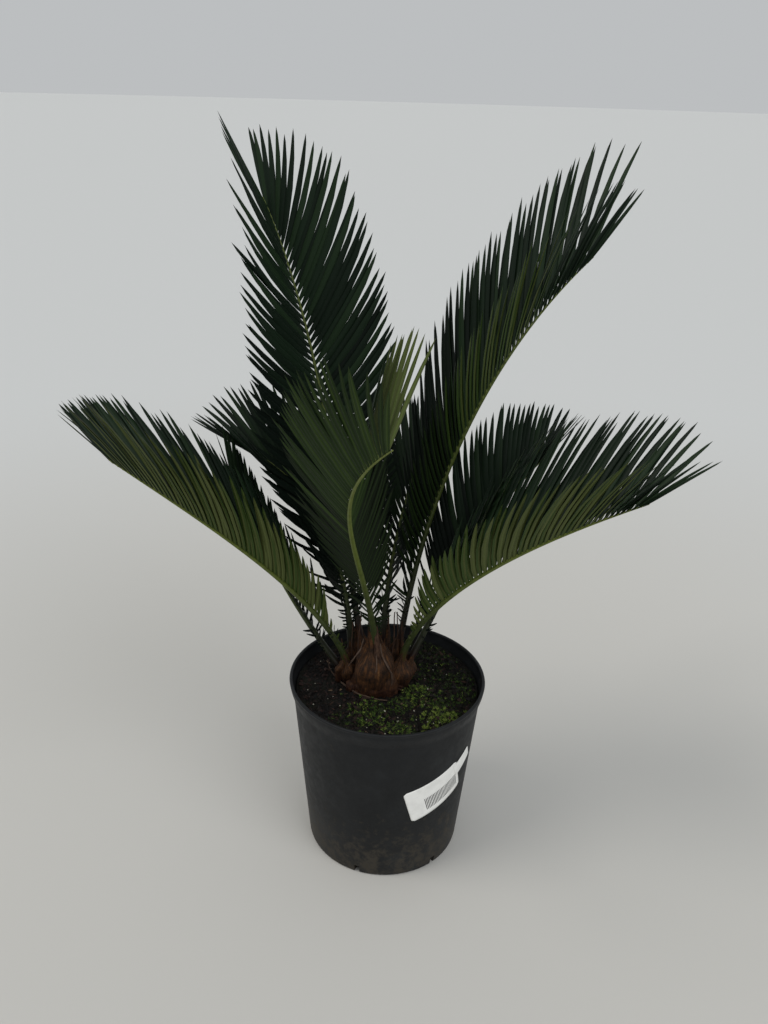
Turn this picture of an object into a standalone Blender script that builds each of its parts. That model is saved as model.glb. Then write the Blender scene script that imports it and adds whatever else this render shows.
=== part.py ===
"""Young sago palm in a black nursery pot.

Metres, +Z up. The origin is the centre of the pot's flat underside, the viewer stands at -Y
and +X is on the viewer's right. Every sub-part is one closed object with its own material.
"""
import math

import bpy
import numpy as np
from mathutils import Vector
from mathutils.bvhtree import BVHTree

MM = 0.001
GAP = 0.3 * MM

# Pot: a 15 cm nursery pot with a flared rim
POT_HEIGHT = 143.5 * MM
RIM_RADIUS = 75.0 * MM
RIM_DEPTH = 15.0 * MM
BODY_TOP_RADIUS = 71.5 * MM
BASE_RADIUS = 59.3 * MM
POT_WALL = 1.8 * MM
POT_FLOOR = 3.2 * MM
BASE_CHAMFER = 2.0 * MM
LIP_THICKNESS = 2.2 * MM
LIP_BEVEL = 0.5 * MM
LIP_BEVEL_DEPTH = 1.6 * MM
POT_SIDES = 40
NOTCH_COUNT = 6
NOTCH_WIDTH = 4.0 * MM
NOTCH_HEIGHT = 7.0 * MM
NOTCH_REACH = 7.0 * MM
FIRST_NOTCH_AZIMUTH = math.radians(-109)
# The rim flares out in two steps, each a share of its flare and a share of its depth
RIM_STEPS = ((0.35, 0.3), (0.8, 0.75))

# Soil: fills the pot to a little below the rim
SOIL_LEVEL = 132.0 * MM
SOIL_RELIEF = 2.2 * MM
SOIL_RINGS = 7
SOIL_EDGE_DROP = 3.6 * MM
SOIL_LEVEL_RADIUS = 30.0 * MM
SOIL_FADE = 14.0 * MM
SOIL_WALL_FADE = 8.0 * MM

# Caudex: the swollen foot of the palm, a cluster of leaf bases on one axis
CAUDEX_X = -8.0 * MM
CAUDEX_Y = 3.0 * MM
CAUDEX_SIDES = 32
CAUDEX_HEIGHTS = np.array([0, 6, 13, 20, 26, 31, 35]) * MM
CAUDEX_RADII = np.array([22, 25, 24.5, 21, 16, 10, 5]) * MM
CAUDEX_RING_HEIGHTS = np.array([0, 3, 7, 11, 15, 19, 23, 26.5, 30, 33]) * MM
CAUDEX_LOBES = 7
CAUDEX_LOBE_DEPTH = 0.05
CAUDEX_LOBE_TURN = 60
CUTTER_DROP = 10.0 * MM
BULGE_HEIGHT = 4.0 * MM
BULGE_WIDTH = 7.0 * MM
BULGE_DROP = 6.0 * MM

# Rachis: the frond's rib, from its swollen foot to its tip
RIB_FOOT_RADIUS = 3.2 * MM
RIB_STALK_RADIUS = 2.3 * MM
RIB_TIP_RADIUS = 0.9 * MM
RIB_FOOT_SHARE = 0.6
RIB_SIDES = 5
RIB_STATIONS = 23
FINE_STEPS = 10
FOOT_SUNK = 3.0 * MM
SWAY_LATENESS = 1.5

# Leaflets
LEAFLET_FILL = 0.8
LEAFLET_WIDEST = 7.5 * MM
LEAFLET_NARROWEST = 3.2 * MM
LEAFLET_THICKNESS = 1.3 * MM
LEAFLET_WIDEST_AT = 0.42
LEAFLET_ROOT_SHARE = 0.42
LEAFLET_SWEEP = 0.72
LEAFLET_TWIST = math.radians(14)
LEAFLET_KEEL_SHARE = 0.6
LENGTH_RISE_POWER = 0.8
LENGTH_FALL_POWER = 1.6
LAST_PAIR_AT = 0.975
LAST_LEAFLET_AT = 0.985
PAIR_STAGGER = 0.25
END_STAGGER = 0.004
CLOSING_FROM = 0.95
CLOSING_SHARE = 0.3
SHORTENED_TO = (1.0, 0.85, 0.7, 0.55)
CLEARANCE = 0.6 * MM

# One row for each frond. Lengths in mm and angles in degrees.
# foot: azimuth about the caudex and height on it. azimuth and sway: where the frond heads, and
# how far it turns on the way. rise: elevation at the foot and at the tip, and how late it bends.
# bare: share of the rib with no leaflets. pairs: leaflets a side. roll: turn of the blade about
# its rib. left and right, looking from the foot along the upper side: the longest leaflet, its
# share at the first and last pair and where it stands, the angles from the rib at the first and
# last pair, and the lifts off the flat there.
FRONDS = {
    "frond_tall_left": dict(
        length=348, azimuth=138, sway=-2, rise=(78, 54, 2.9), foot=(142, 26), bare=0.13, pairs=25, roll=-26,
        left=((96, 0.4, 0.8, 0.35), (62, 60), (18, 66)),
        right=((95, 0.27, 0.58, 0.75), (73, 39), (35, 41))),
    "frond_tall_right": dict(
        length=336, azimuth=21, sway=0, rise=(82, 40, 1.5), foot=(25, 25), bare=0.14, pairs=25, roll=0,
        left=((113, 0.2, 0.82, 0.48), (32, 37), (38, 46)),
        right=((93, 0.26, 0.65, 0.85), (48, 50), (74, 48))),
    "frond_low_right": dict(
        length=236, azimuth=-26, sway=23, rise=(96, 24, 0.38), foot=(-16, 23), bare=0.16, pairs=21, roll=0,
        left=((110, 0.2, 0.66, 0.48), (51, 43), (45, 50)),
        right=((89, 0.14, 0.68, 0.6), (66, 48), (47, 47))),
    "frond_right_rear": dict(
        length=199, azimuth=28, sway=0, rise=(63, 36, 1.8), foot=(6, 16), bare=0.22, pairs=17, roll=0,
        left=((84, 0.25, 0.5, 0.5), (60, 32), (52, 50)),
        right=((84, 0.25, 0.5, 0.5), (60, 32), (52, 50))),
    "frond_front": dict(
        length=306, azimuth=-115, sway=55, rise=(100, 35, 0.38), foot=(-96, 29), bare=0.14, pairs=25, roll=0,
        left=((84, 0.3, 0.85, 0.6), (50, 58), (64, 76)),
        right=((76, 0.3, 0.62, 0.85), (88, 51), (22, 60))),
    "frond_low_left": dict(
        length=246, azimuth=200, sway=-30, rise=(92, 31, 0.33), foot=(190, 17), bare=0.16, pairs=22, roll=0,
        left=((91, 0.18, 0.6, 0.86), (42, 54), (72, 45)),
        right=((108, 0.15, 0.51, 0.5), (36, 22), (66, 42))),
    "frond_left_rear": dict(
        length=178, azimuth=166, sway=0, rise=(51, 70, 1.1), foot=(178, 9), bare=0.24, pairs=15, roll=-10,
        left=((50, 0.25, 0.8, 0.5), (42, 16), (50, 45)),
        right=((50, 0.25, 0.8, 0.5), (42, 16), (50, 45))),
    "frond_left_middle": dict(
        length=184, azimuth=149, sway=2, rise=(85, 14, 1.8), foot=(160, 20), bare=0.22, pairs=17, roll=-26,
        left=((82, 0.3, 0.8, 0.7), (66, 17), (42, 46)),
        right=((82, 0.25, 0.8, 0.7), (62, 17), (42, 46))),
    "frond_rear": dict(
        length=174, azimuth=68, sway=2, rise=(85, 22, 1.3), foot=(76, 27), bare=0.22, pairs=16, roll=0,
        left=((75, 0.25, 0.55, 0.6), (55, 28), (50, 45)),
        right=((75, 0.25, 0.55, 0.6), (55, 28), (50, 45))),
}


def clear_scene():
    for obj in list(bpy.data.objects):
        bpy.data.objects.remove(obj)


def material(name, red, green, blue, roughness):
    made = bpy.data.materials.new(name)
    made.use_nodes = True
    shader = made.node_tree.nodes["Principled BSDF"]
    shader.inputs["Base Color"].default_value = (red, green, blue, 1)
    shader.inputs["Roughness"].default_value = roughness
    shader.inputs["Metallic"].default_value = 0
    made.diffuse_color = (red, green, blue, 1)
    return made


def add_object(name, points, faces, finish, smooth_angle=None):
    mesh = bpy.data.meshes.new(name)
    mesh.from_pydata([tuple(p) for p in points], [], [tuple(f) for f in faces])
    mesh.materials.append(finish)
    if smooth_angle is not None:
        mesh.shade_smooth()
        mesh.set_sharp_from_angle(angle=smooth_angle)
    obj = bpy.data.objects.new(name, mesh)
    bpy.context.scene.collection.objects.link(obj)
    return obj


def apply_boolean(obj, operation, cutter=None, collection=None):
    """Adds one Boolean, applies it, and leaves the object without modifiers."""
    cut = obj.modifiers.new("join", "BOOLEAN")
    cut.operation = operation
    cut.solver = "EXACT"
    if collection:
        cut.operand_type = "COLLECTION"
        cut.collection = collection
    else:
        cut.object = cutter
    graph = bpy.context.evaluated_depsgraph_get()
    joined = bpy.data.meshes.new_from_object(obj.evaluated_get(graph))
    obj.modifiers.remove(cut)
    obj.data = joined


def rings_to_faces(rings, sides):
    """Quads between neighbouring rings of a tube, each ring being `sides` points in turn."""
    faces = []
    for ring in range(rings - 1):
        for side in range(sides):
            after = (side + 1) % sides
            low = ring * sides
            faces.append((low + side, low + after, low + sides + after, low + sides + side))
    return faces


def revolve(profile, sides):
    """Closed solid from a profile of (radius, height) that starts and ends on the axis."""
    angles = np.arange(sides) * 2 * math.pi / sides
    inner = profile[1:-1]
    points = []
    for radius, height in inner:
        for angle in angles:
            points.append((radius * math.cos(angle), radius * math.sin(angle), height))
    faces = rings_to_faces(len(inner), sides)
    first = len(points)
    points.append((0, 0, profile[0][1]))
    points.append((0, 0, profile[-1][1]))
    last_ring = (len(inner) - 1) * sides
    for side in range(sides):
        after = (side + 1) % sides
        faces.append((first, after, side))
        faces.append((first + 1, last_ring + side, last_ring + after))
    return points, faces


def pot_inner_radius(height):
    """Radius of the pot's inner wall at a height of the body."""
    body_top = POT_HEIGHT - RIM_DEPTH
    return np.interp(height, [0, body_top], [BASE_RADIUS, BODY_TOP_RADIUS]) - POT_WALL


def build_pot(finish):
    body_top = POT_HEIGHT - RIM_DEPTH
    flare = RIM_RADIUS - BODY_TOP_RADIUS
    rim = [(BODY_TOP_RADIUS + out * flare, body_top + up * RIM_DEPTH) for out, up in RIM_STEPS]
    profile = [
        (0, 0),
        (BASE_RADIUS - BASE_CHAMFER, 0),
        (BASE_RADIUS, BASE_CHAMFER),
        (BODY_TOP_RADIUS, body_top),
        *rim,
        (RIM_RADIUS, POT_HEIGHT - LIP_BEVEL_DEPTH),
        (RIM_RADIUS - LIP_BEVEL, POT_HEIGHT),
        (RIM_RADIUS - LIP_THICKNESS, POT_HEIGHT),
        (RIM_RADIUS - LIP_THICKNESS - LIP_BEVEL, POT_HEIGHT - LIP_BEVEL_DEPTH),
        (rim[-1][0] - POT_WALL, rim[-1][1]),
        (BODY_TOP_RADIUS - POT_WALL, body_top),
        (pot_inner_radius(POT_FLOOR), POT_FLOOR),
        (0, POT_FLOOR),
    ]
    points, faces = revolve(profile, POT_SIDES)
    pot = add_object("pot", points, faces, finish)
    for number in range(NOTCH_COUNT):
        azimuth = FIRST_NOTCH_AZIMUTH + number * 2 * math.pi / NOTCH_COUNT
        out = Vector((math.cos(azimuth), math.sin(azimuth), 0))
        across = Vector((-math.sin(azimuth), math.cos(azimuth), 0))
        corners = []
        for radial in (BASE_RADIUS - NOTCH_REACH, BASE_RADIUS + NOTCH_REACH):
            for sideways in (-NOTCH_WIDTH / 2, NOTCH_WIDTH / 2):
                for height in (-NOTCH_HEIGHT, NOTCH_HEIGHT):
                    corners.append(out * radial + across * sideways + Vector((0, 0, height)))
        sides = [(0, 1, 3, 2), (4, 6, 7, 5), (0, 4, 5, 1), (2, 3, 7, 6), (0, 2, 6, 4), (1, 5, 7, 3)]
        cutter = add_object("notch_cutter", corners, sides, finish)
        apply_boolean(pot, "DIFFERENCE", cutter=cutter)
        bpy.data.objects.remove(cutter)
    pot.data.shade_smooth()
    pot.data.set_sharp_from_angle(angle=math.radians(40))
    return pot


def soil_height(x, y):
    """Soil surface: a few gentle swells, level under the caudex and along the pot's wall."""
    from_caudex = np.hypot(x - CAUDEX_X, y - CAUDEX_Y)
    from_wall = pot_inner_radius(SOIL_LEVEL) - np.hypot(x, y)
    fade = np.clip((from_caudex - SOIL_LEVEL_RADIUS) / SOIL_FADE, 0, 1)
    fade = fade * np.clip(from_wall / SOIL_WALL_FADE, 0, 1)
    swell = np.sin(95 * x + 1.3) * np.cos(80 * y - 0.4) + 0.5 * np.sin(170 * y + 60 * x)
    return SOIL_LEVEL + SOIL_RELIEF * fade * swell


def build_soil(finish):
    angles = np.arange(POT_SIDES) * 2 * math.pi / POT_SIDES
    edge = SOIL_LEVEL - SOIL_EDGE_DROP
    low_radius = pot_inner_radius(POT_FLOOR) - 2 * GAP
    top_radius = pot_inner_radius(edge) - 2 * GAP
    points = [(0, 0, POT_FLOOR + GAP)]
    for radius, height in ((low_radius, POT_FLOOR + GAP), (top_radius, edge)):
        points += [(radius * math.cos(a), radius * math.sin(a), height) for a in angles]
    for ring in range(SOIL_RINGS):
        radius = top_radius * (1 - ring / SOIL_RINGS)
        x = radius * np.cos(angles)
        y = radius * np.sin(angles)
        points += list(zip(x, y, soil_height(x, y)))
    points.append((0, 0, float(soil_height(0.0, 0.0))))
    rings = SOIL_RINGS + 2
    faces = [tuple(i + 1 for i in face) for face in rings_to_faces(rings, POT_SIDES)]
    last = 1 + (rings - 1) * POT_SIDES
    for side in range(POT_SIDES):
        after = (side + 1) % POT_SIDES
        faces.append((0, 1 + after, 1 + side))
        faces.append((len(points) - 1, last + side, last + after))
    return add_object("soil", points, faces, finish, math.radians(60))


def caudex_radius(azimuth, height, grown):
    """Distance of the caudex's surface from its axis: lobes, and a swelling under each frond."""
    radius = np.interp(height, CAUDEX_HEIGHTS, CAUDEX_RADII)
    lobe = np.cos(CAUDEX_LOBES * azimuth + CAUDEX_LOBE_TURN * height)
    radius = radius * (1 + CAUDEX_LOBE_DEPTH * lobe)
    for frond in FRONDS.values():
        foot_azimuth, foot_height = frond["foot"]
        turn = (azimuth - math.radians(foot_azimuth) + math.pi) % (2 * math.pi) - math.pi
        aside = turn * radius
        above = height - (foot_height * MM - BULGE_DROP)
        radius = radius + BULGE_HEIGHT * np.exp(-(aside**2 + above**2) / BULGE_WIDTH**2)
    return radius + grown


def caudex_mesh(grown, bottom):
    """Points and faces of the caudex, or of one grown on all sides for use as a cutter."""
    azimuths = np.arange(CAUDEX_SIDES) * 2 * math.pi / CAUDEX_SIDES
    points = []
    for height in CAUDEX_RING_HEIGHTS:
        radius = caudex_radius(azimuths, height, grown)
        lift = np.full(CAUDEX_SIDES, SOIL_LEVEL + height + (grown if height > 0 else bottom))
        x = CAUDEX_X + radius * np.cos(azimuths)
        y = CAUDEX_Y + radius * np.sin(azimuths)
        points += list(zip(x, y, lift))
    faces = rings_to_faces(len(CAUDEX_RING_HEIGHTS), CAUDEX_SIDES)
    last = (len(CAUDEX_RING_HEIGHTS) - 1) * CAUDEX_SIDES
    points.append((CAUDEX_X, CAUDEX_Y, SOIL_LEVEL + bottom))
    points.append((CAUDEX_X, CAUDEX_Y, SOIL_LEVEL + CAUDEX_HEIGHTS[-1] + grown))
    for side in range(CAUDEX_SIDES):
        after = (side + 1) % CAUDEX_SIDES
        faces.append((len(points) - 2, after, side))
        faces.append((len(points) - 1, last + side, last + after))
    return points, faces


def rib_frames(row):
    """Stations on a frond's centre line, and the directions along, across and off its blade.

    The line is added up in fine steps, and the stations are picked from its points.
    """
    count = (RIB_STATIONS - 1) * FINE_STEPS + 1
    share = np.linspace(0, 1, count)
    foot_rise, tip_rise, lateness = row["rise"]
    rise = np.radians(foot_rise + (tip_rise - foot_rise) * share**lateness)
    heading = np.radians(row["azimuth"] + row["sway"] * share**SWAY_LATENESS)
    along = np.stack([np.cos(rise) * np.cos(heading), np.cos(rise) * np.sin(heading), np.sin(rise)], 1)
    off = np.stack([-np.sin(rise) * np.cos(heading), -np.sin(rise) * np.sin(heading), np.cos(rise)], 1)
    across = np.cross(along, off)
    foot_azimuth, foot_height = row["foot"]
    start_radius = np.interp(foot_height * MM, CAUDEX_HEIGHTS, CAUDEX_RADII)
    foot = np.array([
        CAUDEX_X + start_radius * math.cos(math.radians(foot_azimuth)),
        CAUDEX_Y + start_radius * math.sin(math.radians(foot_azimuth)),
        SOIL_LEVEL + foot_height * MM,
    ])
    steps = (along[1:] + along[:-1]) / 2 * row["length"] * MM / (count - 1)
    line = foot + np.concatenate([np.zeros((1, 3)), np.cumsum(steps, axis=0)])
    roll = math.radians(row["roll"])
    rolled_off = math.cos(roll) * off + math.sin(roll) * across
    rolled_across = math.cos(roll) * across - math.sin(roll) * off
    return tuple(
        values[::FINE_STEPS].copy() for values in (share, line, along, rolled_across, rolled_off))


def rib_radius(share, bare):
    return np.interp(share, [0, bare * RIB_FOOT_SHARE, 1],
                     [RIB_FOOT_RADIUS, RIB_STALK_RADIUS, RIB_TIP_RADIUS])


def rib_mesh(row):
    """Tapering tube along the frond's centre line, with its foot sunk into the caudex."""
    share, line, along, across, off = rib_frames(row)
    line[0] = line[0] - along[0] * FOOT_SUNK
    radius = rib_radius(share, row["bare"])
    points = []
    for step in range(RIB_STATIONS):
        for side in range(RIB_SIDES):
            turn = 2 * math.pi * side / RIB_SIDES + math.pi / 2
            outward = math.cos(turn) * across[step] + math.sin(turn) * off[step]
            points.append(line[step] + radius[step] * outward)
    faces = rings_to_faces(RIB_STATIONS, RIB_SIDES)
    last = (RIB_STATIONS - 1) * RIB_SIDES
    faces.append(tuple(reversed(range(RIB_SIDES))))
    faces.append(tuple(last + side for side in range(RIB_SIDES)))
    return points, faces


def leaflet_length(place, leaf):
    """Length of a leaflet by its place on the blade, 0 at the first pair and 1 at the last."""
    longest, first, last, peak = leaf
    if place < peak:
        share = first + (1 - first) * math.sin(math.pi / 2 * place / peak) ** LENGTH_RISE_POWER
    else:
        share = 1 - (1 - last) * ((place - peak) / (1 - peak)) ** LENGTH_FALL_POWER
    return longest * MM * share


def leaflet_mesh(root, along, across, off, side, angle, vee, length, width):
    """Slim three-sided leaflet: a cut root, a widest section, and a point swept towards the tip."""
    aside = math.cos(vee) * side * across + math.sin(vee) * off
    out = math.cos(angle) * along + math.sin(angle) * aside
    swept = angle * LEAFLET_SWEEP
    on = math.cos(swept) * along + math.sin(swept) * aside
    middle = root + out * length * LEAFLET_WIDEST_AT
    tip = middle + on * length * (1 - LEAFLET_WIDEST_AT)
    flat = along - out * float(np.dot(along, out))
    flat = flat / np.linalg.norm(flat)
    face = np.cross(out, flat) * side
    twisted = math.cos(LEAFLET_TWIST) * flat + math.sin(LEAFLET_TWIST) * face
    keel = np.cross(out, twisted)
    points = []
    for centre, scale in ((root, LEAFLET_ROOT_SHARE), (middle, 1.0)):
        half = width / 2 * scale
        thick = LEAFLET_THICKNESS * scale
        points += [
            centre - twisted * half - keel * thick * (1 - LEAFLET_KEEL_SHARE),
            centre + twisted * half - keel * thick * (1 - LEAFLET_KEEL_SHARE),
            centre + keel * thick * LEAFLET_KEEL_SHARE,
        ]
    points.append(tip)
    faces = [(2, 1, 0), (3, 4, 6), (4, 5, 6), (5, 3, 6)]
    faces += [(0, 1, 4, 3), (1, 2, 5, 4), (2, 0, 3, 5)]
    return points, faces


def tree_of(points, faces):
    return BVHTree.FromPolygons([Vector(p) for p in points], faces)


def touches(points, faces, obstacles):
    """True where a mesh comes within the clearance of one of the obstacles."""
    own = tree_of(points, faces)
    for other in obstacles:
        if own.overlap(other):
            return True
    for point in points[3:]:
        for other in obstacles:
            if other.find_nearest(Vector(point), CLEARANCE)[0] is not None:
                return True
    return False


def plan_leaflets(row, obstacles):
    """Leaflets of one frond as meshes. One that meets an obstacle is shortened, or left out."""
    share, line, along, across, off = rib_frames(row)
    pairs = row["pairs"]
    spacing = row["length"] * MM * (1 - row["bare"]) / pairs
    meshes = []
    for pair in range(pairs):
        place = pair / (pairs - 1)
        closing = max(place - CLOSING_FROM, 0) / (1 - CLOSING_FROM)
        for side, (leaf, angles, lifts) in ((-1, row["left"]), (1, row["right"])):
            angle = math.radians(angles[0] + (angles[1] - angles[0]) * place)
            angle = angle * (1 - CLOSING_SHARE * closing)
            vee = math.radians(lifts[0] + (lifts[1] - lifts[0]) * place)
            length = leaflet_length(place, leaf)
            width = spacing * math.sin(angle) * LEAFLET_FILL
            width = min(max(width, LEAFLET_NARROWEST), LEAFLET_WIDEST)
            stagger = PAIR_STAGGER * side * (1 - row["bare"]) / pairs
            at = row["bare"] + (1 - row["bare"]) * place * LAST_PAIR_AT + stagger
            at = min(at, LAST_LEAFLET_AT + END_STAGGER * side)
            root, tangent, sideways, up = (
                np.array([np.interp(at, share, column) for column in frame.T])
                for frame in (line, along, across, off)
            )
            for reach in SHORTENED_TO:
                points, faces = leaflet_mesh(
                    root, tangent, sideways, up, side, angle, vee, length * reach, width)
                if not touches(points, faces, obstacles):
                    meshes.append((points, faces))
                    break
    return meshes


def build_fronds(finish, caudex_cutter, fixed):
    """All fronds. Each leaflet keeps clear of the pot, the other ribs and the finished fronds."""
    ribs = {name: rib_mesh(row) for name, row in FRONDS.items()}
    rib_trees = {name: tree_of(*mesh) for name, mesh in ribs.items()}
    finished = []
    for name, row in FRONDS.items():
        others = [tree for other, tree in rib_trees.items() if other != name]
        leaflets = plan_leaflets(row, fixed + others + finished)
        for points, faces in leaflets:
            finished.append(tree_of(points, faces))
        frond = add_object(name, *ribs[name], finish)
        group = bpy.data.collections.new("leaflets")
        bpy.context.scene.collection.children.link(group)
        for number, (points, faces) in enumerate(leaflets):
            leaflet = add_object("leaflet_" + str(number), points, faces, finish)
            bpy.context.scene.collection.objects.unlink(leaflet)
            group.objects.link(leaflet)
        apply_boolean(frond, "UNION", collection=group)
        apply_boolean(frond, "DIFFERENCE", cutter=caudex_cutter)
        for leaflet in list(group.objects):
            bpy.data.objects.remove(leaflet)
        bpy.data.collections.remove(group)


def main():
    clear_scene()
    build_pot(material("black pot plastic", 0.022, 0.024, 0.024, 0.55))
    soil = build_soil(material("mossy potting soil", 0.035, 0.030, 0.018, 0.95))
    points, faces = caudex_mesh(0, GAP)
    add_object("caudex", points, faces, material("caudex scales", 0.17, 0.07, 0.03, 0.8),
               math.radians(50))
    points, faces = caudex_mesh(1.5 * GAP, -CUTTER_DROP)
    cutter = add_object("caudex_cutter", points, faces, None)
    cutter.hide_render = True
    cutter.display_type = "WIRE"
    pot = bpy.data.objects["pot"]
    fixed = []
    for obj in (pot, soil, bpy.data.objects["caudex"]):
        corners = [tuple(v.co) for v in obj.data.vertices]
        fixed.append(tree_of(corners, [tuple(p.vertices) for p in obj.data.polygons]))
    build_fronds(material("palm frond", 0.020, 0.040, 0.016, 0.55), cutter, fixed)
    bpy.data.objects.remove(cutter)


main()
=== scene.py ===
import math

import bpy
import numpy as np
from mathutils import Matrix


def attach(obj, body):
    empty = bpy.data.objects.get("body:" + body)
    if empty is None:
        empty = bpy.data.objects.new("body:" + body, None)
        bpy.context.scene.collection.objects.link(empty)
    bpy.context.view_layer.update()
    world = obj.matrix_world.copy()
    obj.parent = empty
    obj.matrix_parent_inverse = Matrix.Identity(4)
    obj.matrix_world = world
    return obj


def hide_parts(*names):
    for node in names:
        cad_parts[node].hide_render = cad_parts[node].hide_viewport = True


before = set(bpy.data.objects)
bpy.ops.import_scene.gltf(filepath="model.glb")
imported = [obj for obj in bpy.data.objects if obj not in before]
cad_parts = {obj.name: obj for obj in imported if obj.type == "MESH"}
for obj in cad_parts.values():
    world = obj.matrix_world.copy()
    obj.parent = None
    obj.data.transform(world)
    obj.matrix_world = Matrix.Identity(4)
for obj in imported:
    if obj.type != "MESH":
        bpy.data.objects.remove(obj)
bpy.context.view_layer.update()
scene = bpy.context.scene
scene.view_settings.view_transform = "Standard"
mm = 0.001
print("frame loaded")


# ---- small tools

def toLinear(hexColour):  # sRGB hex to linear red, green and blue, with a full alpha
    parts = [int(hexColour[place:place + 2], 16) / 255 for place in (1, 3, 5)]
    curved = [part / 12.92 if part <= 0.04045 else ((part + 0.055) / 1.055) ** 2.4 for part in parts]
    return (*curved, 1.0)


# Adds a node. Settings are its own values, with ramp stops as (place, hex) pairs, and an input
# is either a number or the output of another node, which is linked.
def addNode(tree, kind, settings=None, inputs=None):
    node = tree.nodes.new("ShaderNode" + kind)
    for name, value in (settings or {}).items():
        if name == "stops":
            elements = node.color_ramp.elements
            while len(elements) < len(value):
                elements.new(0.5)
            for element, (place, colour) in zip(elements, value):
                element.position = place
                element.color = toLinear(colour)
        else:
            setattr(node, name, value)
    for name, value in (inputs or {}).items():
        if isinstance(value, bpy.types.NodeSocket):
            tree.links.new(value, node.inputs[name])
        else:
            node.inputs[name].default_value = value
    return node


# A new material with constants set on its shader. Returns the material, its tree and its shader.
def startMaterial(name, colour, constants):
    made = bpy.data.materials.new(name)
    made.use_nodes = True
    shader = made.node_tree.nodes["Principled BSDF"]
    shader.inputs["Base Color"].default_value = toLinear(colour)
    for socket, value in constants.items():
        shader.inputs[socket].default_value = value
    made.diffuse_color = toLinear(colour)
    return made, made.node_tree, shader


# One mesh object from an array of points and sets of equal-sided faces. Each set is
# (faces, material number), and uv is one pair for each point.
def addPiece(name, points, faceSets, materials, sharpAngle=40, uv=None):
    mesh = bpy.data.meshes.new(name)
    loops = np.concatenate([np.asarray(faces).ravel() for faces, _ in faceSets]).astype(np.int32)
    sizes = np.concatenate([np.full(len(faces), np.shape(faces)[1]) for faces, _ in faceSets])
    numbers = np.concatenate([np.full(len(faces), number) for faces, number in faceSets])
    starts = np.concatenate([[0], np.cumsum(sizes)[:-1]]).astype(np.int32)
    mesh.vertices.add(len(points))
    mesh.vertices.foreach_set("co", np.asarray(points, dtype=np.float32).ravel())
    mesh.loops.add(len(loops))
    mesh.loops.foreach_set("vertex_index", loops)
    mesh.polygons.add(len(sizes))
    mesh.polygons.foreach_set("loop_start", starts)
    mesh.polygons.foreach_set("material_index", numbers.astype(np.int32))
    if uv is not None:
        layer = mesh.uv_layers.new(name="UVMap")
        layer.data.foreach_set("uv", np.asarray(uv, dtype=np.float32)[loops].ravel())
    for material in materials:
        mesh.materials.append(material)
    mesh.update(calc_edges=True)
    mesh.validate()
    mesh.shade_smooth()
    mesh.set_sharp_from_angle(angle=math.radians(sharpAngle))
    piece = bpy.data.objects.new(name, mesh)
    scene.collection.objects.link(piece)
    return piece


# Quads between neighbouring rings of a grid of rows and columns, closed round the columns or open.
def gridFaces(rows, columns, closed=True, first=0):
    row, column = np.meshgrid(np.arange(rows - 1), np.arange(columns if closed else columns - 1),
                              indexing="ij")
    after = (column + 1) % columns
    low = first + row * columns
    return np.stack([low + column, low + after, low + columns + after, low + columns + column],
                    axis=-1).reshape(-1, 4)


def smoothStep(value, low, high):  # 0 below low, 1 above high, and a smooth rise between
    share = np.clip((value - low) / (high - low), 0, 1)
    return share * share * (3 - 2 * share)


# Uneven ripples over a plane: the mean of sine waves of like length in seeded directions.
def ripples(x, y, wavelength, seed, waves=7):
    dice = np.random.default_rng(seed)
    total = np.zeros(np.broadcast(x, y).shape)
    for _ in range(waves):
        heading = dice.uniform(0, 2 * math.pi)
        pace = 2 * math.pi / wavelength * dice.uniform(0.7, 1.4)
        total += np.sin(pace * (x * math.cos(heading) + y * math.sin(heading)) + dice.uniform(0, 6.28))
    return total / waves ** 0.5


# ---- camera, light and floor

cameraPlan = {
    "place": (-0.0085, -0.6168, 0.565),  # metres from the centre of the pot's underside
    "pitchDown": 22.46,
    "roll": 1.63,
    "focalPixels": 950.0,
    "framePixels": (768, 1024),
    "axisPixel": (382.0, 474.0),  # where the lens axis meets the picture
    "sensor": 36.0,
}


def placeCamera(plan):
    pitch = math.radians(plan["pitchDown"])
    roll = math.radians(plan["roll"])
    forward = np.array([0, math.cos(pitch), -math.sin(pitch)])
    level = np.array([1.0, 0, 0])
    upright = np.array([0, math.sin(pitch), math.cos(pitch)])
    right = math.cos(roll) * level + math.sin(roll) * upright
    up = math.cos(roll) * upright - math.sin(roll) * level
    wide, tall = plan["framePixels"]
    data = bpy.data.cameras.new("camera")
    data.sensor_width = plan["sensor"]
    data.lens = plan["focalPixels"] / tall * plan["sensor"]
    data.shift_x = (wide / 2 - plan["axisPixel"][0]) / tall
    data.shift_y = (plan["axisPixel"][1] - tall / 2) / tall
    made = bpy.data.objects.new("camera", data)
    scene.collection.objects.link(made)
    matrix = np.eye(4)
    matrix[:3, 0] = right
    matrix[:3, 1] = up
    matrix[:3, 2] = -forward
    matrix[:3, 3] = plan["place"]
    made.matrix_world = Matrix(matrix.tolist())
    scene.camera = made


lightPlan = {
    "ambient": ("#eceff1", 0.60),
    "suns": [
        {"name": "large light behind the left shoulder", "from": (-1.2, -0.45, 1.8), "strength": 0.85,
         "spread": 28.0, "colour": "#fffaf2"},
        {"name": "large light at the right", "from": (0.9, -1.1, 1.3), "strength": 0.8,
         "spread": 40.0, "colour": "#ffffff"},
    ],
}


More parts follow.
